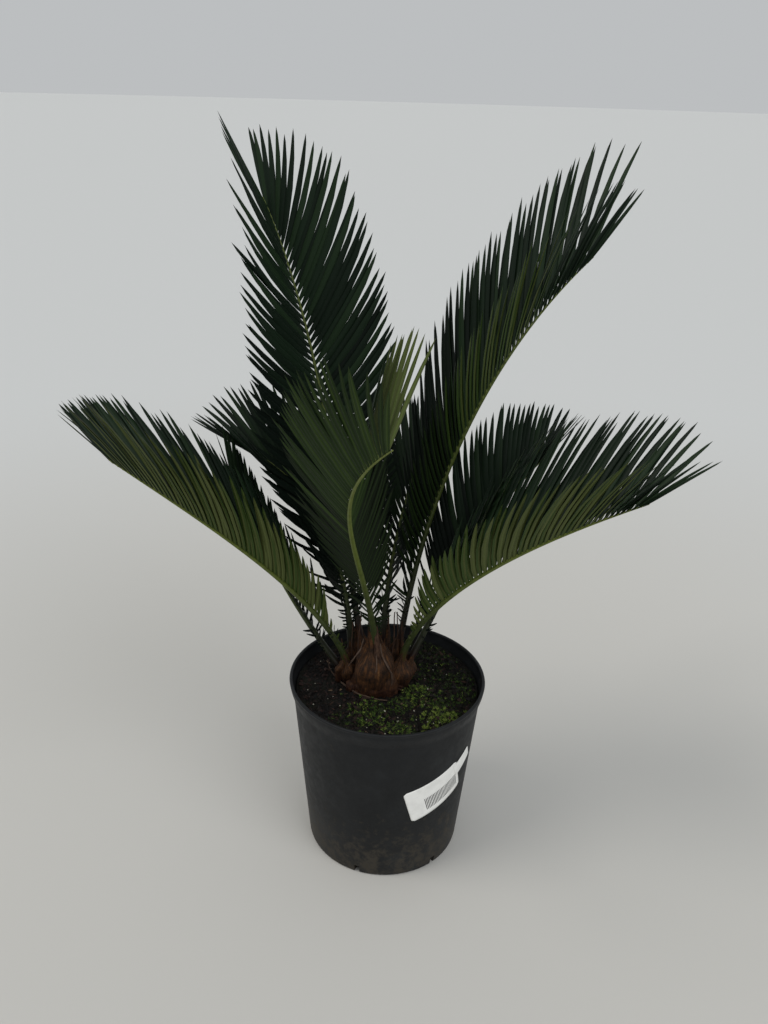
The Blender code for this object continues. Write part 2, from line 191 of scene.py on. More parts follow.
def addLight():
    world = bpy.data.worlds.new("pale studio")
    world.use_nodes = True
    colour, strength = lightPlan["ambient"]
    backdrop = world.node_tree.nodes["Background"]
    backdrop.inputs["Color"].default_value = toLinear(colour)
    backdrop.inputs["Strength"].default_value = strength
    scene.world = world
    for plan in lightPlan["suns"]:
        data = bpy.data.lights.new(plan["name"], "SUN")
        data.angle = math.radians(plan["spread"])
        data.energy = plan["strength"]
        data.color = toLinear(plan["colour"])[:3]
        lamp = bpy.data.objects.new(plan["name"], data)
        scene.collection.objects.link(lamp)
        back = np.array(plan["from"]) / np.linalg.norm(plan["from"])
        side = np.cross([0, 0, 1.0], back)
        side = side / np.linalg.norm(side)
        matrix = np.eye(4)
        matrix[:3, 0] = side
        matrix[:3, 1] = np.cross(back, side)
        matrix[:3, 2] = back
        lamp.matrix_world = Matrix(matrix.tolist())


# Painted studio floor: satin, plain, and a little paler away from the middle
def addFloor():
    paint, tree, shader = startMaterial("satin floor paint", "#b4b6b5", {"Roughness": 0.7,
                                                                         "Specular IOR Level": 0.2})
    where = addNode(tree, "TexCoord")
    away = addNode(tree, "VectorMath", {"operation": "LENGTH"}, {0: where.outputs["Object"]})
    paler = addNode(tree, "MapRange", {"interpolation_type": "SMOOTHSTEP"}, {
        "Value": away.outputs["Value"], "From Min": 0.3, "From Max": 1.3, "To Min": 0.0, "To Max": 1.0})
    tone = addNode(tree, "ValToRGB", {"stops": [(0.0, "#c8c7c3"), (1.0, "#d0d2d2")]},
                   {"Fac": paler.outputs["Result"]})
    tree.links.new(tone.outputs["Color"], shader.inputs["Base Color"])
    turn = np.linspace(0, 2 * math.pi, 64, endpoint=False)
    rim = np.stack([np.cos(turn), np.sin(turn), np.zeros(64)], 1) * 30.0
    floor = addPiece("floor", rim, [(np.arange(64)[None, :], 0)], [paint])


placeCamera(cameraPlan)
addLight()
addFloor()
print("camera, light and floor made")


# ---- pot

pot = {
    "height": 143.5 * mm,
    "rimRadius": 75.0 * mm,
    "rimDepth": 15.0 * mm,
    "bodyTopRadius": 71.5 * mm,
    "baseRadius": 59.3 * mm,
    "wall": 1.8 * mm,
    "floor": 3.2 * mm,
    "footRounding": 2.0 * mm,
    "notches": 6,
    "notchWidth": 4.0 * mm,
    "notchHeight": 7.0 * mm,
    "notchDepth": 7.0 * mm,
    "firstNotch": -109.0,
    "columns": 32,  # between two notches
}


def potRadius(height):  # outside of the body: a straight taper below the rim
    bodyTop = pot["height"] - pot["rimDepth"]
    share = np.asarray(height) / bodyTop
    return pot["baseRadius"] + (pot["bodyTopRadius"] - pot["baseRadius"]) * share


# Profile of radius and height, from the underside out, up the wall, over the lip and down inside.
# The rim flares by a smooth step, and the lip is a narrow bead.
def potProfile():
    bodyTop = pot["height"] - pot["rimDepth"]
    turn = np.radians(np.linspace(-90, 0, 6))
    round_ = pot["footRounding"]
    foot = np.stack([pot["baseRadius"] - round_ + round_ * np.cos(turn), round_ + round_ * np.sin(turn)], 1)
    low = np.array([3.4 * mm, 5.2 * mm, pot["notchHeight"]])
    tall = np.linspace(pot["notchHeight"], bodyTop - 3 * mm, 22)[1:]
    heights = np.concatenate([low, tall])
    body = np.stack([potRadius(heights), heights], 1)
    share = np.linspace(0, 1, 12)
    flareTop = pot["height"] - 2.4 * mm
    flare = np.stack([
        pot["bodyTopRadius"] + (pot["rimRadius"] - 0.4 * mm - pot["bodyTopRadius"]) * smoothStep(share, 0, 1) ** 0.8,
        bodyTop + (flareTop - bodyTop) * share,
    ], 1)
    bead = np.radians(np.linspace(-40, 205, 12))
    lipRadius = 1.25 * mm
    lip = np.stack([
        pot["rimRadius"] - lipRadius + lipRadius * np.cos(bead),
        pot["height"] - lipRadius + lipRadius * np.sin(bead),
    ], 1)
    inside = np.array([
        (pot["rimRadius"] - 0.4 * mm - pot["wall"], flareTop - 1.2 * mm),
        (pot["bodyTopRadius"] + 1.6 * mm - pot["wall"], bodyTop + 6 * mm),
        (pot["bodyTopRadius"] - pot["wall"], bodyTop),
        (potRadius(0.06) - pot["wall"], 0.06),
        (potRadius(pot["notchHeight"]) - pot["wall"], pot["notchHeight"]),
        (potRadius(pot["floor"]) - pot["wall"], pot["floor"]),
        (pot["baseRadius"] - pot["notchDepth"], pot["floor"]),
    ])
    underside = np.array([(pot["baseRadius"] - pot["notchDepth"], 0.0)])
    profile = np.concatenate([underside, foot, body, flare, lip, inside])
    outerTop = len(underside) + len(foot) + len(low) - 1
    innerTop = len(profile) - 3
    return profile, outerTop, innerTop


# The pot is its profile carried round the axis, with slots cut through the foot of the wall.
def buildPot(finish):
    profile, outerTop, innerTop = potProfile()
    rows = len(profile)
    half = math.degrees(pot["notchWidth"] / 2 / pot["baseRadius"])
    period = 360 / pot["notches"]
    steps = np.concatenate([[-half, 0], np.linspace(half, period - half, pot["columns"] + 1)[:-1]])
    angles = np.radians(pot["firstNotch"] + period * np.arange(pot["notches"])[:, None] + steps).ravel()
    columns = len(angles)
    points = np.stack([
        profile[:, :1] * np.cos(angles),
        profile[:, :1] * np.sin(angles),
        np.repeat(profile[:, 1:], columns, 1),
    ], -1).reshape(-1, 3)
    quads = gridFaces(rows, columns).reshape(rows - 1, columns, 4)
    slot = np.arange(columns) % len(steps) < 2
    cut = np.zeros((rows - 1, columns), bool)
    cut[:outerTop] = slot
    cut[innerTop:] = slot
    kept = quads[~cut]
    slotColumns = np.flatnonzero(slot)
    after = slotColumns + 1
    roof = np.stack([outerTop * columns + slotColumns, outerTop * columns + after,
                     innerTop * columns + after, innerTop * columns + slotColumns], 1)
    back = np.stack([(rows - 1) * columns + slotColumns, (rows - 1) * columns + after,
                     after, slotColumns], 1)
    chain = np.concatenate([np.arange(outerTop + 1), np.arange(innerTop, rows)]) * columns
    left = chain[None, :] + slotColumns[::2, None]
    right = chain[None, ::-1] + after[1::2, None]
    underside = np.arange(columns)[None, ::-1]
    insideFloor = (rows - 1) * columns + np.arange(columns)[None, :]
    faces = [(kept, 0), (roof[:, ::-1], 0), (back[:, ::-1], 0), (left, 0), (right, 0),
             (underside, 0), (insideFloor, 0)]
    piece = addPiece("plant_pot", points, faces, [finish], 35)
    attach(piece, "root")
    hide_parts("pot")


# Black polypropylene, moulded: satin, with faint upright flow lines, scuffs, and soil dust
# that has dried near the foot.
def polypropylene():
    made, tree, shader = startMaterial("polypropylene", "#24272a", {
        "Roughness": 0.5, "IOR": 1.49, "Specular IOR Level": 0.22})
    where = addNode(tree, "TexCoord")
    place = where.outputs["Object"]
    cloud = addNode(tree, "TexNoise", {}, {"Vector": place, "Scale": 1 / (22 * mm), "Detail": 5.0,
                                           "Roughness": 0.62})
    plastic = addNode(tree, "ValToRGB", {"stops": [(0.32, "#141618"), (0.55, "#1a1c1e"), (0.75, "#222527")]},
                      {"Fac": cloud.outputs["Fac"]})
    speck = addNode(tree, "TexNoise", {}, {"Vector": place, "Scale": 1 / (7 * mm), "Detail": 7.0,
                                           "Roughness": 0.7})
    apart = addNode(tree, "SeparateXYZ", {}, {"Vector": place})
    low = addNode(tree, "MapRange", {"interpolation_type": "SMOOTHSTEP"}, {
        "Value": apart.outputs["Z"], "From Min": 0.08, "From Max": 0.004, "To Min": 0.0, "To Max": 0.24})
    raised = addNode(tree, "Math", {"operation": "ADD"}, {0: speck.outputs["Fac"], 1: low.outputs["Result"]})
    dusty = addNode(tree, "MapRange", {"interpolation_type": "SMOOTHSTEP"}, {
        "Value": raised.outputs["Value"], "From Min": 0.58, "From Max": 0.86, "To Min": 0.0, "To Max": 0.55})
    tint = addNode(tree, "Mix", {"data_type": "RGBA"}, {
        0: dusty.outputs["Result"], 6: plastic.outputs["Color"], 7: toLinear("#4a443a")})
    tree.links.new(tint.outputs[2], shader.inputs["Base Color"])
    dull = addNode(tree, "MapRange", {}, {"Value": speck.outputs["Fac"], "From Min": 0.3, "From Max": 0.8,
                                          "To Min": 0.42, "To Max": 0.68})
    tree.links.new(dull.outputs["Result"], shader.inputs["Roughness"])
    stretched = addNode(tree, "Mapping", {}, {"Vector": place, "Scale": (1.0, 1.0, 0.06)})
    flow = addNode(tree, "TexNoise", {}, {"Vector": stretched.outputs["Vector"], "Scale": 1 / (2.6 * mm),
                                          "Detail": 2.0})
    bump = addNode(tree, "Bump", {}, {"Strength": 0.16, "Distance": 0.25 * mm, "Height": flow.outputs["Fac"]})
    tree.links.new(bump.outputs["Normal"], shader.inputs["Normal"])
    return made


buildPot(polypropylene())
print("pot made")


# ---- stickers: plain white labels on the pot's wall

stickers = {
    "label": {"azimuth": -55.0, "height": 77.0 * mm, "tilt": 18.0, "wide": 48 * mm, "tall": 31 * mm,
              "corner": 2.5 * mm},
    "tag": {"azimuth": -32.5, "height": 93.5 * mm, "tilt": 27.0, "wide": 20 * mm, "tall": 13 * mm,
            "corner": 1.5 * mm},
}


# A flat rounded rectangle laid on the wall's cone: the cone is unrolled about its apex, the
# rectangle is drawn on it by polar coordinates, and the cone is rolled up again.
def buildSticker(name, plan, finish, lift):
    slope = (pot["bodyTopRadius"] - pot["baseRadius"]) / (pot["height"] - pot["rimDepth"])
    sine = slope / math.hypot(1, slope)
    rows = 21
    columns = 41
    v = np.linspace(-1, 1, rows)[:, None] * plan["tall"] / 2
    over = np.clip(np.abs(v) - (plan["tall"] / 2 - plan["corner"]), 0, plan["corner"])
    halfWide = plan["wide"] / 2 - plan["corner"] + np.sqrt(plan["corner"] ** 2 - over ** 2)
    u = np.linspace(-1, 1, columns)[None, :] * halfWide
    tilt = math.radians(plan["tilt"])
    right = u * math.cos(tilt) - v * math.sin(tilt)
    up = u * math.sin(tilt) + v * math.cos(tilt)
    centre = potRadius(plan["height"]) / sine
    distance = np.hypot(right, centre + up)
    azimuth = math.radians(plan["azimuth"]) + np.arctan2(right, centre + up) / sine
    radius = distance * sine
    height = (radius - pot["baseRadius"]) / slope
    radius = radius + lift
    points = np.stack([radius * np.cos(azimuth), radius * np.sin(azimuth), height], -1).reshape(-1, 3)
    across = np.broadcast_to(u / plan["wide"] + 0.5, azimuth.shape)
    along = np.broadcast_to(v / plan["tall"] + 0.5, azimuth.shape)
    uv = np.stack([across, along], -1).reshape(-1, 2)
    piece = addPiece(name, points, [(gridFaces(rows, columns, False), 0)], [finish], 40, uv)
    solid = piece.modifiers.new("paper", "SOLIDIFY")
    solid.thickness = 0.12 * mm
    solid.offset = 1
    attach(piece, "root")


# Coated paper: white and smooth, a little grey where it is handled. The larger label has a
# block of plain, evenly spaced bars, drawn in its own map.
def coatedPaper(name, bars):
    made, tree, shader = startMaterial(name, "#e6e7e4", {"Roughness": 0.42, "IOR": 1.5})
    where = addNode(tree, "TexCoord")
    smudge = addNode(tree, "TexNoise", {}, {"Vector": where.outputs["Object"], "Scale": 1 / (9 * mm),
                                            "Detail": 4.0})
    paper = addNode(tree, "ValToRGB", {"stops": [(0.35, "#efefec"), (0.6, "#fafaf7")]},
                    {"Fac": smudge.outputs["Fac"]})
    colour = paper.outputs["Color"]
    if bars:
        apart = addNode(tree, "SeparateXYZ", {}, {"Vector": where.outputs["UV"]})
        inside = None
        for axis, low, high in (("X", 0.28, 0.94), ("Y", 0.16, 0.56)):
            above = addNode(tree, "Math", {"operation": "GREATER_THAN"}, {0: apart.outputs[axis], 1: low})
            below = addNode(tree, "Math", {"operation": "LESS_THAN"}, {0: apart.outputs[axis], 1: high})
            band = addNode(tree, "Math", {"operation": "MULTIPLY"}, {0: above.outputs[0], 1: below.outputs[0]})
            if inside is not None:
                band = addNode(tree, "Math", {"operation": "MULTIPLY"}, {0: band.outputs[0], 1: inside})
            inside = band.outputs[0]
        many = addNode(tree, "Math", {"operation": "MULTIPLY"}, {0: apart.outputs["X"], 1: 38.0})
        saw = addNode(tree, "Math", {"operation": "FRACT"}, {0: many.outputs[0]})
        bar = addNode(tree, "Math", {"operation": "LESS_THAN"}, {0: saw.outputs[0], 1: 0.5})
        ink = addNode(tree, "Math", {"operation": "MULTIPLY"}, {0: bar.outputs[0], 1: inside})
        printed = addNode(tree, "Mix", {"data_type": "RGBA"}, {
            0: ink.outputs[0], 6: colour, 7: toLinear("#222426")})
        colour = printed.outputs[2]
    tree.links.new(colour, shader.inputs["Base Color"])
    return made


buildSticker("label_sticker", stickers["label"], coatedPaper("coated label paper", True), 0.12 * mm)
buildSticker("tag_sticker", stickers["tag"], coatedPaper("coated tag paper", False), 0.34 * mm)
print("stickers made")


# ---- soil, crumbs, grit and moss

soil = {
    "level": 132.0 * mm,
    "relief": 2.2 * mm,
    "wallGap": 0.3 * mm,
    "edgeDrop": 0.8 * mm,
    "heap": 1.6 * mm,  # how much higher it stands along the wall
    "rings": 90,
    "columns": 300,
    "crumbs": 4200,
    "clumps": 420,
    "grit": 70,
    "chips": 190,
    "tufts": 5200,
}
caudex = {
    "x": -8.0 * mm,
    "y": 3.0 * mm,
    "heights": np.array([0, 6, 13, 20, 26, 31, 35]) * mm,
    "radii": np.array([22, 25, 24.5, 21, 16, 10, 5]) * mm,
}

# Moss cushions: x, y and reach in mm, how closely it covers, and its tone from 0 dull to 1 bright
# The tones are partly the moss's own colour and partly painted shade: the cushions at the back, under the crown, are
# listed dull.
mossPatches = [
    (-12, -37, 17, 1.0, 0.55), (10, -25, 11, 0.8, 0.5), (24, -12, 13, 1.0, 0.7), (40, -26, 17, 0.8, 0.45),
    (41, -46, 15, 1.0, 1.0), (31, 20, 15, 0.6, 0.3), (40, 44, 20, 0.75, 0.25), (22, 56, 14, 0.5, 0.2),
    (56, 8, 14, 0.6, 0.35), (-34, -47, 10, 0.35, 0.3), (-22, 52, 15, 0.3, 0.2), (10, -55, 14, 0.7, 0.6),
    (58, -12, 10, 0.5, 0.4),
]


def soilHeight(x, y):  # gentle swells, level under the caudex and along the wall
    fromCaudex = np.hypot(x - caudex["x"], y - caudex["y"])
    fromWall = potRadius(soil["level"]) - pot["wall"] - np.hypot(x, y)
    fade = np.clip((fromCaudex - 30 * mm) / (14 * mm), 0, 1) * np.clip(fromWall / (8 * mm), 0, 1)
    swell = np.sin(95 * x + 1.3) * np.cos(80 * y - 0.4) + 0.5 * np.sin(170 * y + 60 * x)
    heaped = 1 - smoothStep(fromWall, 0, 12 * mm)
    return soil["level"] + soil["relief"] * fade * swell + soil["heap"] * heaped


def mossCover(x, y):  # how much moss there is: the densest patch there, with a ragged edge
    cover = np.zeros(np.broadcast(x, y).shape)
    tone = np.zeros(cover.shape)
    ragged = 1 + 0.28 * ripples(x, y, 9 * mm, 5)
    for patchX, patchY, reach, dense, bright in mossPatches:
        away = np.hypot(x - patchX * mm, y - patchY * mm) / (reach * mm) * ragged
        here = dense * (1 - smoothStep(away, 0.55, 1.15))
        tone = np.where(here > cover, bright, tone)
        cover = np.maximum(cover, here)
    return cover, tone


def soilSurface(x, y):  # swells, crumbly ripples of three sizes, and the moss cushions
    fromWall = potRadius(soil["level"]) - pot["wall"] - np.hypot(x, y)
    rough = 0.9 * ripples(x, y, 8 * mm, 1) + 0.6 * ripples(x, y, 3.5 * mm, 2) + 0.35 * ripples(x, y, 2 * mm, 3)
    cushion = mossCover(x, y)[0] * (2.0 + 0.9 * ripples(x, y, 6 * mm, 4) + 0.6 * ripples(x, y, 3 * mm, 6)) * mm
    fade = np.clip(fromWall / (5 * mm), 0.25, 1)
    return soilHeight(x, y) + (0.75 * mm * rough + cushion) * fade


# The soil fills the pot: a top surface on a polar grid, the wall, and a flat bottom.
def buildSoil(finish):
    turn = np.linspace(0, 2 * math.pi, soil["columns"], endpoint=False)
    bottom = pot["floor"] + 0.3 * mm
    edge = soil["level"] + soil["heap"] - soil["edgeDrop"]
    lowRadius = potRadius(bottom) - pot["wall"] - soil["wallGap"]
    topRadius = potRadius(edge) - pot["wall"] - soil["wallGap"]
    radii = topRadius * (1 - np.arange(soil["rings"]) / soil["rings"]) ** 0.9
    x = radii[:, None] * np.cos(turn)
    y = radii[:, None] * np.sin(turn)
    top = np.stack([x, y, soilSurface(x, y)], -1)
    wallHeights = np.linspace(bottom, edge, 12)
    wallRadii = lowRadius + (topRadius - lowRadius) * (wallHeights - bottom) / (edge - bottom)
    wall = np.stack([wallRadii[:, None] * np.cos(turn), wallRadii[:, None] * np.sin(turn),
                     np.repeat(wallHeights[:, None], len(turn), 1)], -1)
    grid = np.concatenate([wall, top])
    rows = len(grid)
    points = grid.reshape(-1, 3)
    last = (rows - 1) * len(turn) + np.arange(len(turn))
    faces = [(gridFaces(rows, len(turn)), 0), (np.arange(len(turn))[None, ::-1], 0), (last[None, :], 0)]
    piece = addPiece("soil_bed", points, faces, [finish], 60)
    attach(piece, "root")
    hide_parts("soil")


# Potting peat: dark, matt and fibrous, with reddish bark dust and a greenish tint in patches
def peat():
    made, tree, shader = startMaterial("peat", "#1e1712", {"Roughness": 0.95, "Specular IOR Level": 0.25})
    where = addNode(tree, "TexCoord")
    place = where.outputs["Object"]
    grain = addNode(tree, "TexNoise", {}, {"Vector": place, "Scale": 1 / (2.2 * mm), "Detail": 8.0,
                                           "Roughness": 0.75})
    dark = addNode(tree, "ValToRGB", {"stops": [
        (0.34, "#020101"), (0.52, "#080504"), (0.64, "#170f0a"), (0.8, "#34251a")]},
        {"Fac": grain.outputs["Fac"]})
    cloud = addNode(tree, "TexNoise", {}, {"Vector": place, "Scale": 1 / (16 * mm), "Detail": 4.0})
    mossy = addNode(tree, "MapRange", {"interpolation_type": "SMOOTHSTEP"}, {
        "Value": cloud.outputs["Fac"], "From Min": 0.46, "From Max": 0.66, "To Min": 0.0, "To Max": 0.5})
    tint = addNode(tree, "Mix", {"data_type": "RGBA"}, {
        0: mossy.outputs["Result"], 6: dark.outputs["Color"], 7: toLinear("#10160a")})
    tree.links.new(tint.outputs[2], shader.inputs["Base Color"])
    bump = addNode(tree, "Bump", {}, {"Strength": 0.8, "Distance": 0.6 * mm, "Height": grain.outputs["Fac"]})
    tree.links.new(bump.outputs["Normal"], shader.inputs["Normal"])
    return made


# Plain matt colour with a fine grain in its gloss, for small bits that lie about
def grain(name, colour, rough):
    made, tree, shader = startMaterial(name, colour, {"Specular IOR Level": 0.3})
    where = addNode(tree, "TexCoord")
    fine = addNode(tree, "TexNoise", {}, {"Vector": where.outputs["Object"], "Scale": 1 / (0.8 * mm)})
    dull = addNode(tree, "MapRange", {}, {"Value": fine.outputs["Fac"], "To Min": rough - 0.12,
                                          "To Max": rough + 0.1})
    tree.links.new(dull.outputs["Result"], shader.inputs["Roughness"])
    return made


# Places spread over the soil by seeded dice, clear of the wall and of the caudex
def scatterPlaces(count, dice, clearance):
    edge = potRadius(soil["level"]) - pot["wall"] - clearance
    radius = edge * np.sqrt(dice.uniform(0, 1, count * 2))
    turn = dice.uniform(0, 2 * math.pi, count * 2)
    x = radius * np.cos(turn)
    y = radius * np.sin(turn)
    free = np.hypot(x - caudex["x"], y - caudex["y"]) > 22 * mm
    return x[free][:count], y[free][:count]


# Small eight-faced lumps: an octahedron stretched, turned and knocked out of true by seeded dice
def lumps(x, y, sizes, flat, dice):
    count = len(x)
    corners = np.array([(1, 0, 0), (0, 1, 0), (-1, 0, 0), (0, -1, 0), (0, 0, 1), (0, 0, -1)], float)
    stretch = np.stack([np.ones(count), flat[0] * np.ones(count), flat[1] * np.ones(count)], 1)
    shape = corners[None] * stretch[:, None] * sizes[:, None, None] * dice.uniform(0.65, 1.3, (count, 6, 1))
    yaw = dice.uniform(0, 2 * math.pi, count)[:, None]
    tip = dice.uniform(-0.6, 0.6, count)[:, None]
    across = shape[..., 0] * np.cos(tip) - shape[..., 2] * np.sin(tip)
    up = shape[..., 0] * np.sin(tip) + shape[..., 2] * np.cos(tip)
    points = np.stack([
        x[:, None] + across * np.cos(yaw) - shape[..., 1] * np.sin(yaw),
        y[:, None] + across * np.sin(yaw) + shape[..., 1] * np.cos(yaw),
        soilSurface(x, y)[:, None] + up + sizes[:, None] * flat[1] * 0.3,
    ], -1)
    one = np.array([(0, 1, 4), (1, 2, 4), (2, 3, 4), (3, 0, 4), (1, 0, 5), (2, 1, 5), (3, 2, 5), (0, 3, 5)])
    faces = one[None] + 6 * np.arange(count)[:, None, None]
    return points.reshape(-1, 3), faces


def buildCrumbs():
    dice = np.random.default_rng(11)
    x, y = scatterPlaces(soil["crumbs"] + soil["clumps"], dice, 2 * mm)
    sizes = dice.uniform(0.4, 1.3, len(x)) * mm
    sizes[soil["crumbs"]:] = dice.uniform(1.4, 3.0, len(x) - soil["crumbs"]) * mm
    points, faces = lumps(x, y, sizes, (0.75, 0.6), dice)
    kind = dice.choice(4, len(x), p=(0.46, 0.28, 0.18, 0.08))
    bark = x < -8 * mm
    kind = np.where(bark & (kind == 3), 1, kind)
    finishes = [grain("dark peat crumb", "#040303", 0.85), grain("red bark crumb", "#1f0f0a", 0.8),
                grain("brown bark crumb", "#110b07", 0.85), grain("mossy crumb", "#1b210d", 0.85)]
    sets = [(faces[kind == number].reshape(-1, 3), number) for number in range(4)]
    piece = addPiece("peat_crumbs", points, sets, finishes, 30)
    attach(piece, "root")

    x, y = scatterPlaces(soil["chips"], dice, 6 * mm)
    points, faces = lumps(x, y, dice.uniform(1.6, 3.8, len(x)) * mm, (0.34, 0.22), dice)
    kind = dice.choice(3, len(x), p=(0.5, 0.4, 0.1))
    finishes = [grain("bark chip", "#2f1d15", 0.8), grain("dark bark chip", "#140d09", 0.85),
                grain("dry straw", "#5d4c3a", 0.75)]
    sets = [(faces[kind == number].reshape(-1, 3), number) for number in range(3)]
    piece = addPiece("bark_chips", points, sets, finishes, 30)
    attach(piece, "root")

    x, y = scatterPlaces(soil["grit"], dice, 5 * mm)
    x = np.concatenate([x, np.array([8.4, 36.6, 19.8]) * mm])
    y = np.concatenate([y, np.array([-41.1, 23.1, 19.5]) * mm])
    sizes = np.concatenate([dice.uniform(0.4, 0.95, len(x) - 3), [1.9, 1.0, 1.1]]) * mm
    points, faces = lumps(x, y, sizes, (0.85, 0.75), dice)
    piece = addPiece("pale_grit", points, [(faces.reshape(-1, 3), 0)], [grain("pale pumice grit", "#a9a699", 0.8)], 30)
    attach(piece, "root")


# Each tuft is a star of short pointed blades: three-sided spikes that lean outwards by seeded dice.
def buildMoss():
    dice = np.random.default_rng(23)
    x, y = scatterPlaces(soil["tufts"] * 3, dice, 1.5 * mm)
    cover, tone = mossCover(x, y)
    kept = np.flatnonzero(dice.uniform(0, 1, len(x)) < cover)[:soil["tufts"]]
    x, y, tone = x[kept], y[kept], tone[kept]
    blades = 6
    count = len(x)
    heading = dice.uniform(0, 2 * math.pi, (count, 1)) + np.arange(blades) * 2 * math.pi / blades
    heading = heading + dice.uniform(-0.4, 0.4, heading.shape)
    lean = np.radians(dice.uniform(15, 62, heading.shape))
    tall = dice.uniform(0.9, 2.4, heading.shape) * dice.uniform(0.7, 1.25, (count, 1)) * mm
    out = np.stack([np.sin(lean) * np.cos(heading), np.sin(lean) * np.sin(heading), np.cos(lean)], -1)
    root = np.stack([x, y, soilSurface(x, y) - 0.2 * mm], -1)[:, None, None]
    turn = np.arange(3) * 2 * math.pi / 3
    thick = 0.27 * mm
    ring = np.stack([np.cos(turn), np.sin(turn), np.zeros(3)], -1) * thick
    base = root + ring + out[..., None, :] * 0.1 * mm
    tip = root + (out * tall[..., None])[..., None, :]
    points = np.concatenate([base, tip], 2).reshape(-1, 3)
    spikes = count * blades
    one = np.array([(0, 1, 3), (1, 2, 3), (2, 0, 3)])
    faces = one[None] + 4 * np.arange(spikes)[:, None, None]
    patchy = 0.22 * ripples(x, y, 5 * mm, 8)
    # The dull tones of the cushions at the back are partly painted shade.
    level = np.clip(tone - 0.06 + patchy + dice.normal(0, 0.2, count), 0, 0.99)
    kind = np.repeat((level * 5).astype(int), blades)
    finishes = [grain("dark moss", "#0e1407", 0.8), grain("dull moss", "#1c270c", 0.8),
                grain("green moss", "#2f4416", 0.75), grain("bright moss", "#4a6322", 0.75),
                grain("yellow moss", "#75853a", 0.75)]
    sets = [(faces[kind == number].reshape(-1, 3), number) for number in range(5)]
    piece = addPiece("moss", points, [s for s in sets if len(s[0])], finishes, 30)
    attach(piece, "root")


buildSoil(peat())
buildCrumbs()
buildMoss()
print("soil and moss made")


# ---- fronds

# Lengths in mm, angles in degrees. The keys are those of the CAD model, and the leaflets are
# finer. azimuth, sway: where the frond heads and how far it turns. rise: elevation at the foot
# and at the tip, and how late it bends. foot: azimuth about the caudex and height on it.
# bare: share with no leaflets. left, right: as seen from the foot along the upper side, each
# with the longest leaflet, its share at the first and last pair and where it stands, then the
# angles from the rib and the lifts off the flat at the first and last pair.
fronds = {
    "tall_left": {
        "length": 348, "azimuth": 138, "sway": -2, "rise": (78, 54, 2.9), "foot": (142, 26),
        "bare": 0.13, "pairs": 58, "roll": -26, "below": (1, 2),
        "closing": ((0.72, 0.3), (0.86, 0.7)),
        "left": ((96, 0.4, 0.8, 0.35), (62, 60), (18, 66)),
        "right": ((95, 0.27, 0.58, 0.75), (73, 39), (35, 41))},
    "tall_right": {
        "length": 336, "azimuth": 21, "sway": 0, "rise": (82, 40, 1.5), "foot": (25, 25),
        "bare": 0.14, "pairs": 56, "roll": 0, "below": (2, 3),
        "turned": (0, 45),
        "left": ((113, 0.2, 0.92, 0.48), (32, 37), (38, 46)),
        "right": ((93, 0.26, 0.65, 0.85), (48, 50), (74, 48))},
    "low_right": {
        "length": 236, "azimuth": -26, "sway": 23, "rise": (96, 24, 0.38), "foot": (-16, 23),
        "bare": 0.16, "pairs": 48, "roll": 0, "below": (3, 4),
        "shaded": (-0.1, 0.1), "turned": (0, 40),
        "left": ((110, 0.2, 0.6, 0.48), (51, 43), (45, 50)),
        "right": ((89, 0.14, 0.68, 0.6), (66, 48), (47, 47))},
    "right_rear": {
        "length": 199, "azimuth": 28, "sway": 0, "rise": (63, 36, 1.8), "foot": (6, 16),
        "bare": 0.22, "pairs": 36, "roll": 0, "below": (1, 2),
        "left": ((84, 0.25, 0.5, 0.5), (60, 32), (52, 50)),
        "right": ((84, 0.25, 0.5, 0.5), (60, 32), (52, 50))},
    "front": {
        "length": 306, "azimuth": -115, "sway": 55, "rise": (100, 35, 0.38), "foot": (-96, 29),
        "bare": 0.14, "pairs": 58, "roll": 0, "below": (1, 2),
        "turned": (50, 0), "pale": (-1, 0.8),
        "left": ((84, 0.3, 0.85, 0.6), (50, 58), (64, 76)),
        "right": ((76, 0.3, 0.62, 0.85), (88, 51), (22, 60))},
    "low_left": {
        "length": 246, "azimuth": 200, "sway": -30, "rise": (92, 31, 0.33), "foot": (190, 17),
        "bare": 0.16, "pairs": 50, "roll": 0, "below": (3, 4),
        "shaded": (-0.1, 0.1),
        "left": ((91, 0.18, 0.6, 0.86), (42, 54), (72, 45)),
        "right": ((108, 0.15, 0.51, 0.5), (36, 22), (66, 42))},
    "left_rear": {
        "length": 178, "azimuth": 166, "sway": 0, "rise": (51, 70, 1.1), "foot": (178, 9),
        "bare": 0.24, "pairs": 30, "roll": -10, "below": (1, 3),
        "left": ((50, 0.25, 0.8, 0.5), (42, 16), (50, 45)),
        "right": ((50, 0.25, 0.8, 0.5), (42, 16), (50, 45))},
    "left_middle": {
        "length": 184, "azimuth": 149, "sway": 2, "rise": (85, 14, 1.8), "foot": (160, 20),
        "bare": 0.22, "pairs": 38, "roll": -26, "below": (1, 2),
        "left": ((82, 0.34, 0.8, 0.7), (66, 17), (42, 46)),
        "right": ((82, 0.25, 0.8, 0.7), (62, 17), (42, 46))},
    "rear": {
        "length": 174, "azimuth": 68, "sway": 2, "rise": (85, 22, 1.3), "foot": (76, 27),
        "bare": 0.22, "pairs": 24, "roll": 0, "below": (1, 2),
        "left": ((75, 0.25, 0.55, 0.6), (55, 28), (50, 45)),
        "right": ((75, 0.25, 0.55, 0.6), (55, 28), (50, 45))},
}
rib = {
    "footRadius": 3.2 * mm,
    "stalkRadius": 2.3 * mm,
    "tipRadius": 0.45 * mm,
    "sides": 14,
    "stations": 111,
    "fineSteps": 2,
    "sunk": 3.0 * mm,
}
leaflet = {
    "widest": 4.9 * mm,
    "sweep": 0.3,  # share of its angle that a leaflet loses from root to tip
    "twist": 14.0,
    "thorns": 11,  # on each side of the stalk
    "closing": ((0.95, 0.3), (0.95, 0.3)),  # where leaflets start to close, and the share they lose
    "shaded": (0.4, 0.62),  # shares of a frond between which shaded leaflets give way to lit ones
}


